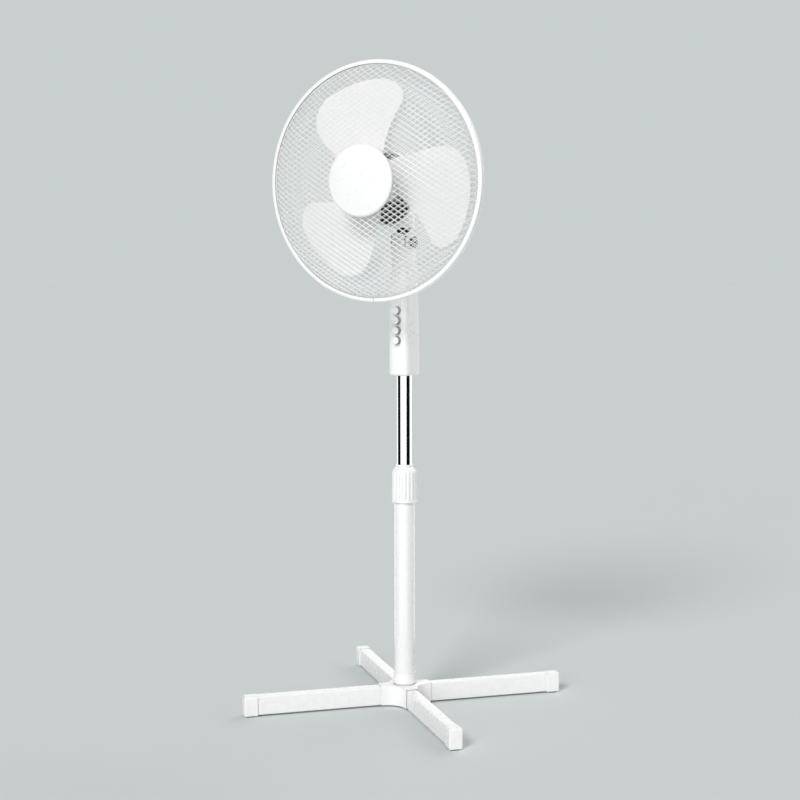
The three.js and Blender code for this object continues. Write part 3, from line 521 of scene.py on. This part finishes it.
def make_hub():
    outline = cross_outline(HUB_REACH, HUB_HALF_WIDTH, HUB_FILLET)
    hub = make_object("hub", extruded(outline, HUB_BOTTOM, HUB_TOP), "white_plastic")
    bevel(hub, 1.1, 4, 40)
    collar = rounded([(0, 30, 0), (30, 30, 0), (30, 39.8, 0), (COLLAR_RADIUS + 0.3, 40.5, 0.4),
                      (COLLAR_RADIUS - 0.9, 63, 0), (COLLAR_RADIUS - 1, COLLAR_TOP, 0.8),
                      (0, COLLAR_TOP, 0)], 6)
    combine(hub, lathe(collar, sides=96), "UNION")
    combine(hub, rod(LOWER_TUBE_RADIUS + CLEARANCE, LOWER_TUBE_BOTTOM - GAP, 70, sides=96))
    foot_groove = [(COLLAR_RADIUS - 0.9, 40.0), (COLLAR_RADIUS + 4, 40.0), (COLLAR_RADIUS + 4, 40.9),
                   (COLLAR_RADIUS + 0.4, 42.6), (COLLAR_RADIUS - 0.9, 41.2)]
    combine(hub, lathe(foot_groove, sides=96))
    top_groove = [(19.6, 61.2), (25, 60.8), (25, 63.2), (19.6, 62.8)]
    combine(hub, lathe(top_groove, sides=96, closed=True))
    combine(hub, rod(BASE_BOLT_BORE, 0, 20))
    half = ARM_WIDTH / 2 + CLEARANCE
    mouth = HUB_REACH - 9
    for angle in ARMS.values():
        combine(hub, block(ARM_START - GAP, 60, -half, half, 0, ARM_TOP + CLEARANCE).turned(angle))
        combine(hub, block(mouth, 60, -half - 0.8, half + 0.8, 0, ARM_TOP + 0.95).turned(angle))
    finished(hub, "base", "white_plastic", "base_hub", sharp=28)


def make_arm(side, angle):
    """A square tube: rings go out along its outside and come back along its inside."""
    end = ARM_REACH - CAP_LENGTH + CAP_GRIP - GAP
    half = ARM_WIDTH / 2
    wall = ARM_WALL
    outer = rounded_rectangle(-half, half, ARM_BOTTOM, ARM_TOP, 3.0)
    inner = rounded_rectangle(-half + wall, half - wall, ARM_BOTTOM + wall, ARM_TOP - wall, 2.0)
    stations = np.linspace(ARM_START, end, 12)
    rings = [[(x, y, z) for y, z in outer] for x in stations]
    rings += [[(x, y, z) for y, z in inner] for x in stations[::-1]]
    shape = skin(rings, closed=True).turned(angle)
    piece(f"arm_tube_{side}", shape, "base", "white_paint", f"arm_{side}", sharp=50)


def make_end_cap(side, angle):
    start = ARM_REACH - CAP_LENGTH
    half = CAP_WIDTH / 2

    def ring(x, inset, radius):
        outline = rounded_rectangle(-half + inset, half - inset, CAP_BOTTOM + inset, CAP_TOP - inset, radius)
        return [(x, y, z) for y, z in outline]

    rings = [ring(start, 0.5, 3.6), ring(start + 0.15, 0.2, 3.8), ring(start + 0.6, 0, CAP_CORNER)]
    rings += [ring(x, 0, CAP_CORNER) for x in np.linspace(start + 3, ARM_REACH - 3, 4)]
    for step in range(7):
        turn = step / 6 * math.pi / 2
        reach = ARM_REACH - CAP_NOSE + CAP_NOSE * math.sin(turn)
        rings.append(ring(reach, CAP_NOSE * (1 - math.cos(turn)), CAP_CORNER - 1.4 * step / 6))
    cap = make_object(f"cap_{side}", skin(rings), "white_plastic")
    slack = ARM_WIDTH / 2 + CLEARANCE
    socket = block(start - 1, start + CAP_GRIP, -slack, slack, ARM_BOTTOM - CLEARANCE, ARM_TOP + CLEARANCE)
    combine(cap, socket)
    cap.data.transform(Matrix.Rotation(math.radians(angle), 4, "Z"))
    finished(cap, "base", "white_plastic", f"end_cap_{side}", sharp=40)


def make_foot(side, angle):
    inner, outer, half = ARM_REACH - 20, ARM_REACH - 3, 8
    rings = []
    for z, inset in ((0, 0.5), (0.25, 0.1), (0.5, 0), (1.2, 0)):
        outline = rounded_rectangle(inner + inset, outer - inset, -half + inset, half - inset, 3)
        rings.append([(x, y, z) for x, y in outline])
    piece(f"foot_{side}", skin(rings).turned(angle), "base", "rubber", f"foot_pad_{side}", sharp=50)


def make_base():
    make_hub()
    for side, angle in ARMS.items():
        make_arm(side, angle)
        make_end_cap(side, angle)
        make_foot(side, angle)
    inner, outer = LOWER_TUBE_RADIUS - 1.2, LOWER_TUBE_RADIUS
    tube = rounded([(inner, LOWER_TUBE_BOTTOM, 0.3), (outer, LOWER_TUBE_BOTTOM, 0.3),
                    (outer, LOWER_TUBE_TOP, 0.5), (inner, LOWER_TUBE_TOP, 0.3)], 3, closed=True)
    piece("outer_tube", lathe(tube, sides=96, closed=True), "base", "white_paint", "lower_tube")


# ------------------------------------------------------------------ height lock and mast


def make_lock_nut():
    radius, bottom, top = NUT_RADIUS, NUT_BOTTOM, NUT_TOP
    bore = LOWER_TUBE_RADIUS + GAP
    levels = [  # height, radius, flute depth, from the bottom up the outside and down the bore
        (bottom, radius - 0.6, 0), (bottom + 0.6, radius, 0), (bottom + 3.2, radius, 0),
        (bottom + 4.2, radius - 0.5, 0), (bottom + 5, radius - 0.4, 0.5), (bottom + 8, radius, 1.5),
        (bottom + 20, radius, 1.5), (bottom + 40, radius - 0.3, 1.5), (top - 15, radius - 0.5, 1.4),
        (top - 12, radius - 1.2, 1.0), (top - 10.4, radius - 2.6, 0.4), (top - 8, 19, 0), (top - 6, 17.2, 0),
        (top - 5.4, 16.4, 0), (top - 5, 16, 0), (top - 0.8, 16, 0), (top - 0.2, 15.7, 0), (top, 15.2, 0),
        (top, NUT_MOUTH_RADIUS, 0), (top - 7.7, NUT_MOUTH_RADIUS, 0), (top - 8, 16.4, 0),
        (NUT_CAVITY_TOP, NUT_CAVITY_RADIUS, 0), (NUT_CAVITY_BOTTOM, NUT_CAVITY_RADIUS, 0),
        (NUT_CAVITY_BOTTOM, bore, 0), (bottom + 0.2, bore, 0), (bottom, bore + 0.3, 0)]
    sides = NUT_FLUTES * 16
    rings = []
    for z, outer, depth in levels:
        ring = []
        for side in range(sides):
            angle = 2 * math.pi * side / sides
            wave = 0.5 + 0.5 * math.cos(angle * NUT_FLUTES)
            size = outer - depth * (1 - wave ** 0.55)
            ring.append((size * math.cos(angle), size * math.sin(angle), z))
        rings.append(ring)
    shape = skin(rings, closed=True)
    piece("lock_nut", shape, "lock_nut", "white_plastic", "height_lock_nut", sharp=40)


def make_inner_tube():
    inner, outer = INNER_TUBE_RADIUS - 1, INNER_TUBE_RADIUS
    tube = rounded([(inner, INNER_TUBE_BOTTOM, 0.2), (outer, INNER_TUBE_BOTTOM, 0.4),
                    (outer, INNER_TUBE_TOP, 0.4), (inner, INNER_TUBE_TOP, 0.2)], 3, closed=True)
    piece("chrome_tube", lathe(tube, sides=128, closed=True), "mast", "chrome", "inner_tube")


def section_at(z):
    """Half width, front and rear of the housing at a height, smoothed between its sections."""
    heights = [row[0] for row in HOUSING_SECTIONS]
    return [float(np.interp(z, heights, [row[i] for row in HOUSING_SECTIONS])) for i in (1, 2, 3)]


def housing_ring(z, inset, level=None):
    """The housing's outline at height z, or the outline of another level brought to z."""
    half, front, rear = section_at(level if level is not None else z)
    corner = max(HOUSING_CORNER - inset, 1)
    outline = rounded_rectangle(-half + inset, half - inset, front + inset, rear - inset, corner, 10)
    return [(x, y, z) for x, y in outline]


def button_wells():
    """The four holes that the buttons stand in, each a little wider at its mouth."""
    profile = rounded([(0, -40, 0), (8.4, -40, 0), (7.35, -26.4, 0.4), (7.35, -20, 0), (0, -20, 0)], 4)
    return [lathe(profile, "Y", 48).moved(0, 0, z) for z in BUTTON_ZS]


def housing_shell():
    """The outside, from the rounded foot up."""
    foot = []
    for step in range(7):
        turn = step / 6 * math.pi / 2
        z = HOUSING_BOTTOM - 3 + FOOT_ROUND * (1 - math.cos(turn))
        foot.append(housing_ring(z, FOOT_ROUND * (1 - math.sin(turn)), level=HOUSING_BOTTOM))
    return skin(foot + [housing_ring(z, 0) for z in HOUSING_LEVELS])


def housing_cuts():
    """What both halves leave free: the inside, the chrome tube, the notch for the neck and the tilt bolt."""
    top = [(x, y, HOUSING_TOP + 2) for x, y, _ in housing_ring(HOUSING_TOP, HOUSING_WALL)]
    inside = [housing_ring(z, HOUSING_WALL) for z in [HOUSING_BOTTOM] + HOUSING_LEVELS[1:-1]] + [top]
    tube = rod(INNER_TUBE_RADIUS + 0.5, HOUSING_BOTTOM - 9, HOUSING_BOTTOM + 3, sides=64)
    notch = block(-15.7, 15.7, HOUSING_NOTCH_FRONT, HOUSING_PAST, HOUSING_NOTCH_BOTTOM, HOUSING_TOP + 12)
    return [skin(inside), tube, notch, rod(BOLT_BORE, -30, 30, "X").moved(0, PIVOT_Y, TILT_Z)]


def housing_side(near, far):
    """A block over everything between two Y stations, to cut one half of the housing away."""
    return block(-HOUSING_PAST, HOUSING_PAST, near, far, HOUSING_BOTTOM - 29, HOUSING_TOP + 12)


def make_housing():
    front = make_object("housing_front_shell", housing_shell(), "white_plastic")
    for cut in housing_cuts() + [housing_side(-0.1, 60)]:
        combine(front, cut)
    for z in SCREW_ZS:
        combine(front, rod(4, -25.4, 3.5, "Y").moved(0, 0, z), "UNION")
        combine(front, rod(2, -20, 6, "Y").moved(0, 0, z))
    for well in button_wells():
        combine(front, well)
    finished(front, "mast", "white_plastic", "housing_front", sharp=32)
    rear = make_object("housing_rear_shell", housing_shell(), "white_plastic")
    for cut in housing_cuts() + [housing_side(-60, 0.1)]:
        combine(rear, cut)
    for z in SCREW_ZS:
        combine(rear, rod(2, 10, 40, "Y").moved(0, 0, z))
    combine(rear, rod(6.3, 20, 40, "Y").moved(0, 0, INLET_Z))
    finished(rear, "mast", "white_plastic", "housing_rear", sharp=32)


def make_buttons():
    """White buttons; their sides, behind the rounded rim, are grey, which is painted shade for the shadowed
    flank.
    """
    radius, front, rim = 6.9, -36, 1.1
    profile = rounded([(0, front, 0), (radius - 0.2, front + 0.15, 1.3), (radius, -22, 0.5), (3, -22, 0.4),
                       (3, -18, 0.4), (0, -18, 0)], 6)
    for row, z in enumerate(BUTTON_ZS, 1):
        name = f"button_{row}"
        button = piece(f"push_{name}", lathe(profile, "Y", 64).moved(0, 0, z), name, "white_plastic", name)
        # painted shade: the grey material on each button's side wall, behind the rim, stands in for the
        # shadow on its flank
        button.data.materials.append(MATERIALS["grey_plastic"])
        for face in button.data.polygons:
            face.material_index = int(face.center.y > (front + rim) * MM)


def make_gland():
    profile = rounded([(3.6, 22, 0.3), (6, 22, 0.3), (6, 28.2, 0.2), (8.5, 28.2, 0.4), (8.5, 31, 1.0),
                       (6.4, 31, 0.5), (5.4, 38, 0.8), (3.6, 38, 0.4)], 4, closed=True)
    shape = lathe(profile, "Y", 48, closed=True)
    piece("cord_inlet", shape.moved(0, 0, INLET_Z), "mast", "rubber", "cord_gland")


# ------------------------------------------------------------------ neck and tilt joint


def make_neck():
    tongue = make_object("neck_piece", rod(9, -7, 7, "X", 64).moved(0, PIVOT_Y, TILT_Z), "dark_plastic")
    bottom, top = NECK_COLLAR_BOTTOM, NECK_COLLAR_TOP
    combine(tongue, block(-7, 7, PIVOT_Y - 9, PIVOT_Y + 9, TILT_Z, bottom + 2), "UNION")
    bevel(tongue, 0.6, 2, 50)
    collar = rounded([(0, bottom, 0), (12, bottom, 1.2), (12, top, 0.8), (0, top, 0)], 4)
    combine(tongue, lathe(collar, sides=64).moved(0, PIVOT_Y, 0), "UNION")
    combine(tongue, rod(3.6, top - 10, top).moved(LINK_PIN_X, LINK_PIN_Y, 0), "UNION")
    combine(tongue, rod(1.6, top - 1, top + 12.6).moved(LINK_PIN_X, LINK_PIN_Y, 0), "UNION")
    combine(tongue, rod(6.2, bottom - 4, top + 7).moved(0, PIVOT_Y, 0))
    combine(tongue, rod(BOLT_BORE, -20, 20, "X").moved(0, PIVOT_Y, TILT_Z))
    finished(tongue, "neck", "dark_plastic", "neck")


def make_tilt_bolt():
    """The bolt that holds the tilt: a ribbed hand knob on the right, a hexagon nut on the left."""
    knob = rounded([(0, 18.6, 0), (9, 18.6, 0.3), (11, 20.4, 0.8), (11, 25, 1.2), (8, 26, 0.8),
                    (6.5, 25.2, 0.4), (0, 25.2, 0)], 4)
    bolt = make_object("tilt_screw", lathe(knob, sides=96).turned(90, "Y"), "dark_plastic")
    notch = rod(0.9, 17, 28, "X", 12).moved(0, 0, 11.3)
    for rib in range(18):
        combine(bolt, notch.turned(20 * rib, "X"))
    combine(bolt, rod(4, -20.5, 19, "X"), "UNION")
    hexagon = rounded([(0, -21, 0), (7, -21, 0.6), (7, -18.6, 0.3), (0, -18.6, 0)], 3)
    combine(bolt, lathe(hexagon, sides=6).turned(90, "Y"), "UNION")
    shift(bolt, 0, PIVOT_Y, TILT_Z)
    finished(bolt, "mast", "dark_plastic", "tilt_bolt")


# ------------------------------------------------------------------ head


def on_head(shape):
    return shape.moved(0, 0, HEAD_Z)


def cover_radius(y):
    along = (y - COVER_FRONT) / (COVER_REAR - COVER_FRONT)
    return COVER_RADIUS * math.sqrt(max(0.0, 1 - along * along))


def fuller(shape):
    """Widens and lowers a round shape towards the front of the motor; at the rear it stays round."""
    for index, (x, y, z) in enumerate(shape.points):
        share = min(1.0, max(0.0, (COVER_REAR - y) / (COVER_REAR - COVER_FRONT)))
        wide, deep = 1 + COVER_WIDENING * share, 1 + COVER_DEEPENING * share
        shape.points[index] = (x * wide, y, z * deep - COVER_DROP * share)
    return shape


def cover_skirt(inset, low, high):
    """The oval skirt under the motor cover that hides the neck, flared where it meets the cover."""
    rings = []
    for z, flare in ((low, 0.0), (low + 1, 0.0), (high - 16, 0.0), (high, 1.5)):
        ring = []
        for step in range(72):
            angle = 2 * math.pi * step / 72
            width = 22 - inset + flare
            depth = 30 - inset + flare
            ring.append((width * math.cos(angle), PIVOT_Y - 4 + depth * math.sin(angle), z))
        rings.append(ring)
    return skin(rings)


def make_motor_cover():
    steps, wall = 40, 2
    sines = [math.sin(step / steps * math.pi / 2) for step in range(steps)]
    stations = [COVER_FRONT + t * (COVER_REAR - COVER_FRONT) for t in sines[2:]]
    outer = [(0, COVER_FRONT), (COVER_RADIUS - 0.6, COVER_FRONT), (COVER_RADIUS, COVER_FRONT + 0.6)]
    outer += [(cover_radius(y), y) for y in stations] + [(0, COVER_REAR)]
    depth = COVER_REAR - wall - COVER_FRONT
    inner = [(0, COVER_FRONT - 1), (COVER_RADIUS - wall, COVER_FRONT - 1)]
    inner += [((COVER_RADIUS - wall) * math.sqrt(1 - t * t), COVER_FRONT + t * depth) for t in sines[1:]]
    inner += [(0, COVER_FRONT + depth)]
    cover = make_object("cover", fuller(lathe(outer, "Y", 96)), "white_plastic")
    combine(cover, cover_skirt(0, -81, -40), "UNION")
    combine(cover, cover_skirt(wall, -90, -36))
    combine(cover, fuller(lathe(inner, "Y", 96)))
    for x in VENT_XS:
        combine(cover, extruded(rounded_rectangle(x - 1.5, x + 1.5, -14, 14, 1.4, 4), 25, 60, "Y"))
    combine(cover, rod(3, 20, 60).moved(KNOB_X, PIVOT_Y, 0))
    combine(cover, rod(2, 35, 60).moved(0, COVER_SCREW_Y, 0))
    shift(cover, 0, 0, HEAD_Z)
    finished(cover, "head", "white_plastic", "motor_cover", sharp=30)


def make_motor_front():
    disc = rounded([(0, -63, 0), (51, -63, 1.6), (51, -59, 0.8), (0, -59, 0)], 5)
    plate = make_object("motor_face", fuller(lathe(disc, "Y", 96)), "dark_plastic")
    hub = rounded([(0, -76, 0), (19, -76, 1.0), (19, -64.2, 1.2), (26, -61, 1.0), (0, -61, 0)], 5)
    combine(plate, lathe(hub, "Y", 96), "UNION")
    combine(plate, rod(SHAFT_BORE, -80, -50, "Y"))
    slot = extruded(rounded_rectangle(30, 44, -2.2, 2.2, 2.0, 4), -66, -57, "Y")
    for spoke in range(12):
        combine(plate, slot.turned(30 * spoke, "Y"))
    shift(plate, 0, 0, HEAD_Z)
    finished(plate, "head", "dark_plastic", "motor_front_bracket")


def make_grille_nut():
    back = RING_Y + float(dome(REAR_HOLE, REAR_DEPTH, REAR_FULLNESS)) - 1.5
    profile = rounded([(19.4, back - 7, 0.5), (31, back - 7, 1.6), (31, back, 0.4), (19.4, back, 0.3)], 4,
                      closed=True)
    nut = make_object("nut_ring", lathe(profile, "Y", 96, closed=True), "dark_plastic")
    notch = rod(1.3, back - 9, back + 2, "Y", 16).moved(31.4, 0, 0)
    for grip in range(24):
        combine(nut, notch.turned(15 * grip, "Y"))
    shift(nut, 0, 0, HEAD_Z)
    finished(nut, "head", "dark_plastic", "grille_nut")


def make_knob():
    profile = rounded([(0, 7, 0), (2.4, 7, 0.4), (2.4, 49, 0.2), (6.5, 49, 0.6), (7.5, 53, 1.2),
                       (6.8, 56, 1.4), (0, 57, 0)], 5)
    knob = make_object("swing_knob", lathe(profile, sides=64), "white_plastic")
    notch = rod(0.55, 48, 55.4, sides=12).moved(7.6, 0, 0)
    for grip in range(16):
        combine(knob, notch.turned(22.5 * grip))
    shift(knob, KNOB_X, PIVOT_Y, HEAD_Z)
    finished(knob, "oscillation_knob", "white_plastic", "oscillation_knob")


# ------------------------------------------------------------------ blades


def smooth_curve(points, samples):
    """A smooth path through given points, spaced evenly along the spans between them."""
    knots = np.array(points, float)
    padded = np.vstack((2 * knots[0] - knots[1], knots, 2 * knots[-1] - knots[-2]))
    path = []
    for i in range(len(knots) - 1):
        a, b, c, d = padded[i:i + 4]
        for t in np.linspace(0, 1, 12, endpoint=False):
            path.append(0.5 * (2 * b + (c - a) * t + (2 * a - 5 * b + 4 * c - d) * t ** 2
                               + (3 * b - a - 3 * c + d) * t ** 3))
    path.append(knots[-1])
    path = np.array(path)
    where = np.linspace(0, len(path) - 1, samples)
    return np.column_stack([np.interp(where, range(len(path)), path[:, i]) for i in (0, 1)])


def blade_shape(rows=40, columns=28):
    leading = smooth_curve(BLADE_LEADING, rows)
    trailing = smooth_curve(BLADE_TRAILING, rows)
    faces = {1: [], -1: []}
    for row in range(rows):
        for side in faces:
            line = []
            for column in range(columns + 1):
                t = 0.5 - 0.5 * math.cos(math.pi * column / columns)
                arch = 4 * t * (1 - t)
                radius = leading[row][0] * (1 - t) + trailing[row][0] * t
                turn = leading[row][1] * (1 - t) + trailing[row][1] * t
                thick = 0.35 + 0.75 * math.sqrt(max(0.0, arch))
                thick *= 1.0 if row < rows - 4 else 0.45 + 0.55 * (rows - 1 - row) / 4
                camber = BLADE_CAMBER * arch * (radius / BLADE_REACH)
                depth = -BLADE_SETBACK + BLADE_PITCH * math.radians(turn) - camber
                angle = math.radians(turn + BLADE_FACING)
                y = RING_Y - depth - side * thick
                line.append((radius * math.cos(angle), y, radius * math.sin(angle)))
            faces[side].append(line)
    rings = [front + back[::-1] for front, back in zip(faces[1], faces[-1])]
    return skin(rings)


def make_blades():
    hub_profile = rounded([(0, -110, 0), (34, -110, 2.2), (38, -106, 3.2), (38, -80, 0.6), (35.4, -80, 0.6),
                           (35.4, -105, 1.5), (12.2, -105, 1.0), (12, -82, 0.6), (0, -82, 0)], 6)
    rotor = make_object("rotor_blades", lathe(hub_profile, "Y", 96), "blade_plastic")
    blade = blade_shape()
    for number in range(3):
        combine(rotor, blade.turned(-120 * number, "Y"), "UNION")
    cavity = lathe([(12.2, -79), (12.2, -104.8), (35.2, -104.8), (35.2, -79)], "Y", 96, closed=True)
    combine(rotor, cavity)
    combine(rotor, rod(SHAFT_BORE, -120, -70, "Y"))
    shift(rotor, 0, 0, HEAD_Z)
    finished(rotor, "rotor", "blade_plastic", "fan_blade", sharp=45)


def make_blade_nut():
    back = RING_Y - GAP
    profile = rounded([(SHAFT_BORE, back, 0.2), (20, back, 0.6), (19, back - 7, 1.6), (11, back - 12, 2.0),
                       (0, back - 13, 0)], 5)
    inside = [(0, back - 9), (SHAFT_BORE, back - 9)]
    nut = make_object("blade_spinner", lathe(inside + profile, "Y", 72), "white_plastic")
    notch = rod(1.6, back - 8, back + 2, "Y", 16).moved(21, 0, 0)
    for grip in range(10):
        combine(nut, notch.turned(36 * grip, "Y"))
    shift(nut, 0, 0, HEAD_Z)
    finished(nut, "rotor", "white_plastic", "blade_nut")


# ------------------------------------------------------------------ wire cage


def dome(radius, depth, fullness):
    return depth * np.sqrt(np.maximum(0.0, 1 - (np.asarray(radius) / DOME_RADIUS) ** fullness))


def cage_wires(depth, fullness, direction, hole):
    """Two crossing families of wires, straight seen from the front, that follow the dome in depth."""
    shape = Shape()
    for family, tilt in enumerate((WIRE_TILT, -WIRE_TILT)):
        along = np.array((math.cos(math.radians(tilt)), math.sin(math.radians(tilt))))
        across = np.array((-along[1], along[0]))
        lift = WIRE_LIFT if family else -WIRE_LIFT
        count = int(DOME_RADIUS / WIRE_SPACING)
        for number in range(-count, count + 1):
            offset = number * WIRE_SPACING
            half = math.sqrt(DOME_RADIUS ** 2 - offset ** 2)
            if half < SHORTEST_WIRE / 2:
                continue
            spans = [(-1.0, 1.0)]
            if abs(offset) < hole:
                edge = math.asin(math.sqrt(hole ** 2 - offset ** 2) / half) * 2 / math.pi
                spans = [(-1.0, -edge), (edge, 1.0)]
            for start, end in spans:
                steps = max(8, int(30 * (end - start) / 2 * half / DOME_RADIUS) + 6)
                where = half * np.sin(np.linspace(start, end, steps) * math.pi / 2)
                flat = offset * across + where[:, None] * along
                radius = np.hypot(flat[:, 0], flat[:, 1])
                y = RING_Y + direction * (dome(radius, depth, fullness) + lift)
                path = np.c_[flat[:, 0], y, flat[:, 1]]
                shape.add(sweep(path, WIRE_RADIUS, 5))
    return shape


def circle(radius, y, sides=128):
    return [(radius * math.cos(2 * math.pi * i / sides), y, radius * math.sin(2 * math.pi * i / sides))
            for i in range(sides)]


def make_grille(name, node, direction, depth, fullness, hole, inner):
    """One half of the cage: wires, two rims, short joints between them, and the plate round its hole."""
    shape = cage_wires(depth, fullness, direction, hole)
    shape.add(sweep(circle(RIM_RADIUS, RING_Y + direction * 2.3), 1.9, 12, closed=True))
    shape.add(sweep(circle(DOME_RADIUS + 0.6, RING_Y + direction * 1.6), 1.2, 8, closed=True))
    for spoke in range(12):
        angle = math.radians(30 * (spoke + 0.5))
        ends = [(radius * math.cos(angle), RING_Y + direction * 2.0, radius * math.sin(angle))
                for radius in (DOME_RADIUS, RIM_RADIUS)]
        shape.add(sweep(ends, 1.0, 6))
    plate_y = RING_Y + direction * float(dome(hole - 4, depth, fullness))
    front, rear, outer = plate_y - 1.2, plate_y + 1.2, hole + 2
    profile = rounded([(inner, front, 0.4), (outer, front, 0.6), (outer, rear, 0.6), (inner, rear, 0.4)], 3,
                      closed=True)
    shape.add(lathe(profile, "Y", 96, closed=True))
    piece(name, on_head(shape), "head", "white_wire", node, sharp=60)


def make_front_cap():
    back = RING_Y - float(dome(FRONT_HOLE, FRONT_DEPTH, FRONT_FULLNESS)) - 1.5
    profile = rounded([(0, back, 0), (62.4, back, 0.8), (64.4, back - 1.5, 1.0), (64.4, back - 4.2, 1.6),
                       (61.6, back - 6.6, 2.2), (46, back - 8.5, 8), (24, back - 10, 8),
                       (0, back - 10.5, 0)], 8)
    piece("front_badge", on_head(lathe(profile, "Y", 144)), "head", "white_plastic", "front_cap", sharp=40)


def make_guard_ring():
    front, rear = RING_Y - 5.5, RING_Y + 5.5
    lip, outer = 208, RING_RADIUS - 1.5
    profile = rounded([(lip, front, 0.4), (RING_RADIUS, front, 2.2), (RING_RADIUS, rear, 2.2),
                       (lip, rear, 0.4), (lip, rear - 1, 0.4), (outer, rear - 1, 0.6),
                       (outer, front + 1, 0.6), (lip, front + 1, 0.4)], 5, closed=True)
    ring = make_object("cage_ring", lathe(profile, "Y", 192, closed=True), "white_plastic")
    lug = make_object("lug", block(-6, 6, rear - 0.5, rear + 7, -213, -206), "white_plastic")
    bevel(lug, 0.8, 3)
    corners = [tuple(vertex.co / MM) for vertex in lug.data.vertices]
    lug_shape = Shape(corners, [tuple(face.vertices) for face in lug.data.polygons])
    bpy.data.objects.remove(lug)
    combine(ring, lug_shape, "UNION")
    combine(ring, block(-0.5, 0.5, front - 5, rear + 15, -220, -200))
    combine(ring, rod(1.7, -10, 10, "X", 24).moved(0, rear + 4, -209.5))
    shift(ring, 0, 0, HEAD_Z)
    finished(ring, "head", "white_plastic", "guard_ring", sharp=40)


# ------------------------------------------------------------------ carried-over CAD pieces


def dress_cad_nodes():
    slots = {row["node"]: row["material_slot"] for row in frame["record"]["subparts"]}
    for name, node in frame["nodes"].items():
        holder = node.material_slots[0] if node.material_slots else None
        if holder is None:
            continue
        holder.link = "OBJECT"
        holder.material = MATERIALS[slots[name]]


# ------------------------------------------------------------------ stage


def toward(turn, reach=1.0):
    """The x and y of a point at this angle round the fan, counted from the camera's own side."""
    azimuth = math.radians(CAMERA_AZIMUTH + turn)
    return reach * math.sin(azimuth), -reach * math.cos(azimuth)


def level_circle(radius, height, sides):
    return [(radius * math.cos(angle), radius * math.sin(angle), height)
            for angle in np.linspace(0, 2 * math.pi, sides + 1)[:-1]]


def plain(name, colour, roughness=1.0, specular=0.0, glow=None):
    """A stage material; one that glows is only seen and reflected, and isn't sampled as a lamp."""
    material, _, shader = principled(name)
    shader.inputs["Base Color"].default_value = colour
    shader.inputs["Roughness"].default_value = roughness
    shader.inputs["Specular IOR Level"].default_value = specular
    if glow:
        shader.inputs["Emission Color"].default_value = glow
        shader.inputs["Emission Strength"].default_value = 1.0
        material.cycles.emission_sampling = "NONE"
    return material


def make_card(name, start, end, material, steps=12):
    """A curved card beside the set that only reflections show."""
    columns = [toward(start + (end - start) * step / steps, CARD_RADIUS) for step in range(steps + 1)]
    points = [(x, y, z) for z in (CARD_BOTTOM, CARD_TOP) for x, y in columns]
    above = len(columns)
    card = Shape(points, [(i, i + 1, above + i + 1, above + i) for i in range(steps)])
    obj = make_object(name, card, "white_plastic")
    obj.data.materials[0] = material
    obj.visible_camera = False
    obj.visible_diffuse = False
    obj.visible_shadow = False
    obj.visible_transmission = False


def make_backdrop():
    """A plain pale dome that the camera sees round the floor, without lighting the object."""
    rings = []
    for step in range(13):
        turn = math.radians(7 * step)
        height = FLOOR_RADIUS * math.sin(turn) - 100
        rings.append(level_circle(FLOOR_RADIUS * math.cos(turn), height, 64))
    backdrop = make_object("backdrop", skin(rings), "white_plastic")
    backdrop.data.materials[0] = plain("backdrop_paint", (0, 0, 0, 1), glow=BACKDROP_GLOW)
    backdrop.visible_diffuse = False
    backdrop.visible_shadow = False


def make_sun(name, turn, elevation, strength, softness):
    """A soft lamp; its direction is counted from the camera's side and from level, in degrees."""
    light = bpy.data.lights.new(name, "SUN")
    light.energy = strength
    light.angle = math.radians(softness)
    light.color = LAMP_COLOUR
    obj = bpy.data.objects.new(name, light)
    bpy.context.scene.collection.objects.link(obj)
    direction = Vector((*toward(turn), math.tan(math.radians(elevation))))
    obj.rotation_euler = direction.to_track_quat("Z", "Y").to_euler()


def make_stage():
    floor = make_object("floor", Shape(level_circle(FLOOR_RADIUS, 0, 96), [range(96)]), "white_plastic")
    floor.data.materials[0] = plain("floor_paint", FLOOR_COLOUR, 0.9)
    make_backdrop()
    dark = plain("dark_card", (0.01, 0.01, 0.01, 1))
    bright = plain("bright_card", (0, 0, 0, 1), glow=(1.4, 1.4, 1.4, 1))
    make_card("card_left", -120, -62, dark)
    make_card("card_right", 33, 93, dark)
    make_card("card_front", -61, 32, bright)
    make_card("card_back", 94, 239, bright)
    world = bpy.data.worlds.new("studio")
    world.use_nodes = True
    world.node_tree.nodes["Background"].inputs["Color"].default_value = WORLD_COLOUR
    world.node_tree.nodes["Background"].inputs["Strength"].default_value = 1.0
    bpy.context.scene.world = world
    bpy.context.scene.view_settings.view_transform = "Standard"
    make_sun("key", -25, 36, 1.95, 20)
    make_sun("front", -25, 8, 0.9, 30)
    make_sun("side", 80, 20, 0.7, 50)
    make_sun("back", 140, 40, 1.05, 50)


make_camera()
make_stage()
dress_cad_nodes()
make_base()
make_lock_nut()
make_inner_tube()
make_housing()
make_buttons()
make_gland()
make_neck()
make_tilt_bolt()
make_motor_cover()
make_motor_front()
make_grille_nut()
make_knob()
make_blades()
make_blade_nut()
make_grille("cage_front", "front_grille", -1, FRONT_DEPTH, FRONT_FULLNESS, FRONT_HOLE, inner=40)
make_grille("cage_rear", "rear_grille", 1, REAR_DEPTH, REAR_FULLNESS, REAR_HOLE, inner=20.2)
make_front_cap()
make_guard_ring()
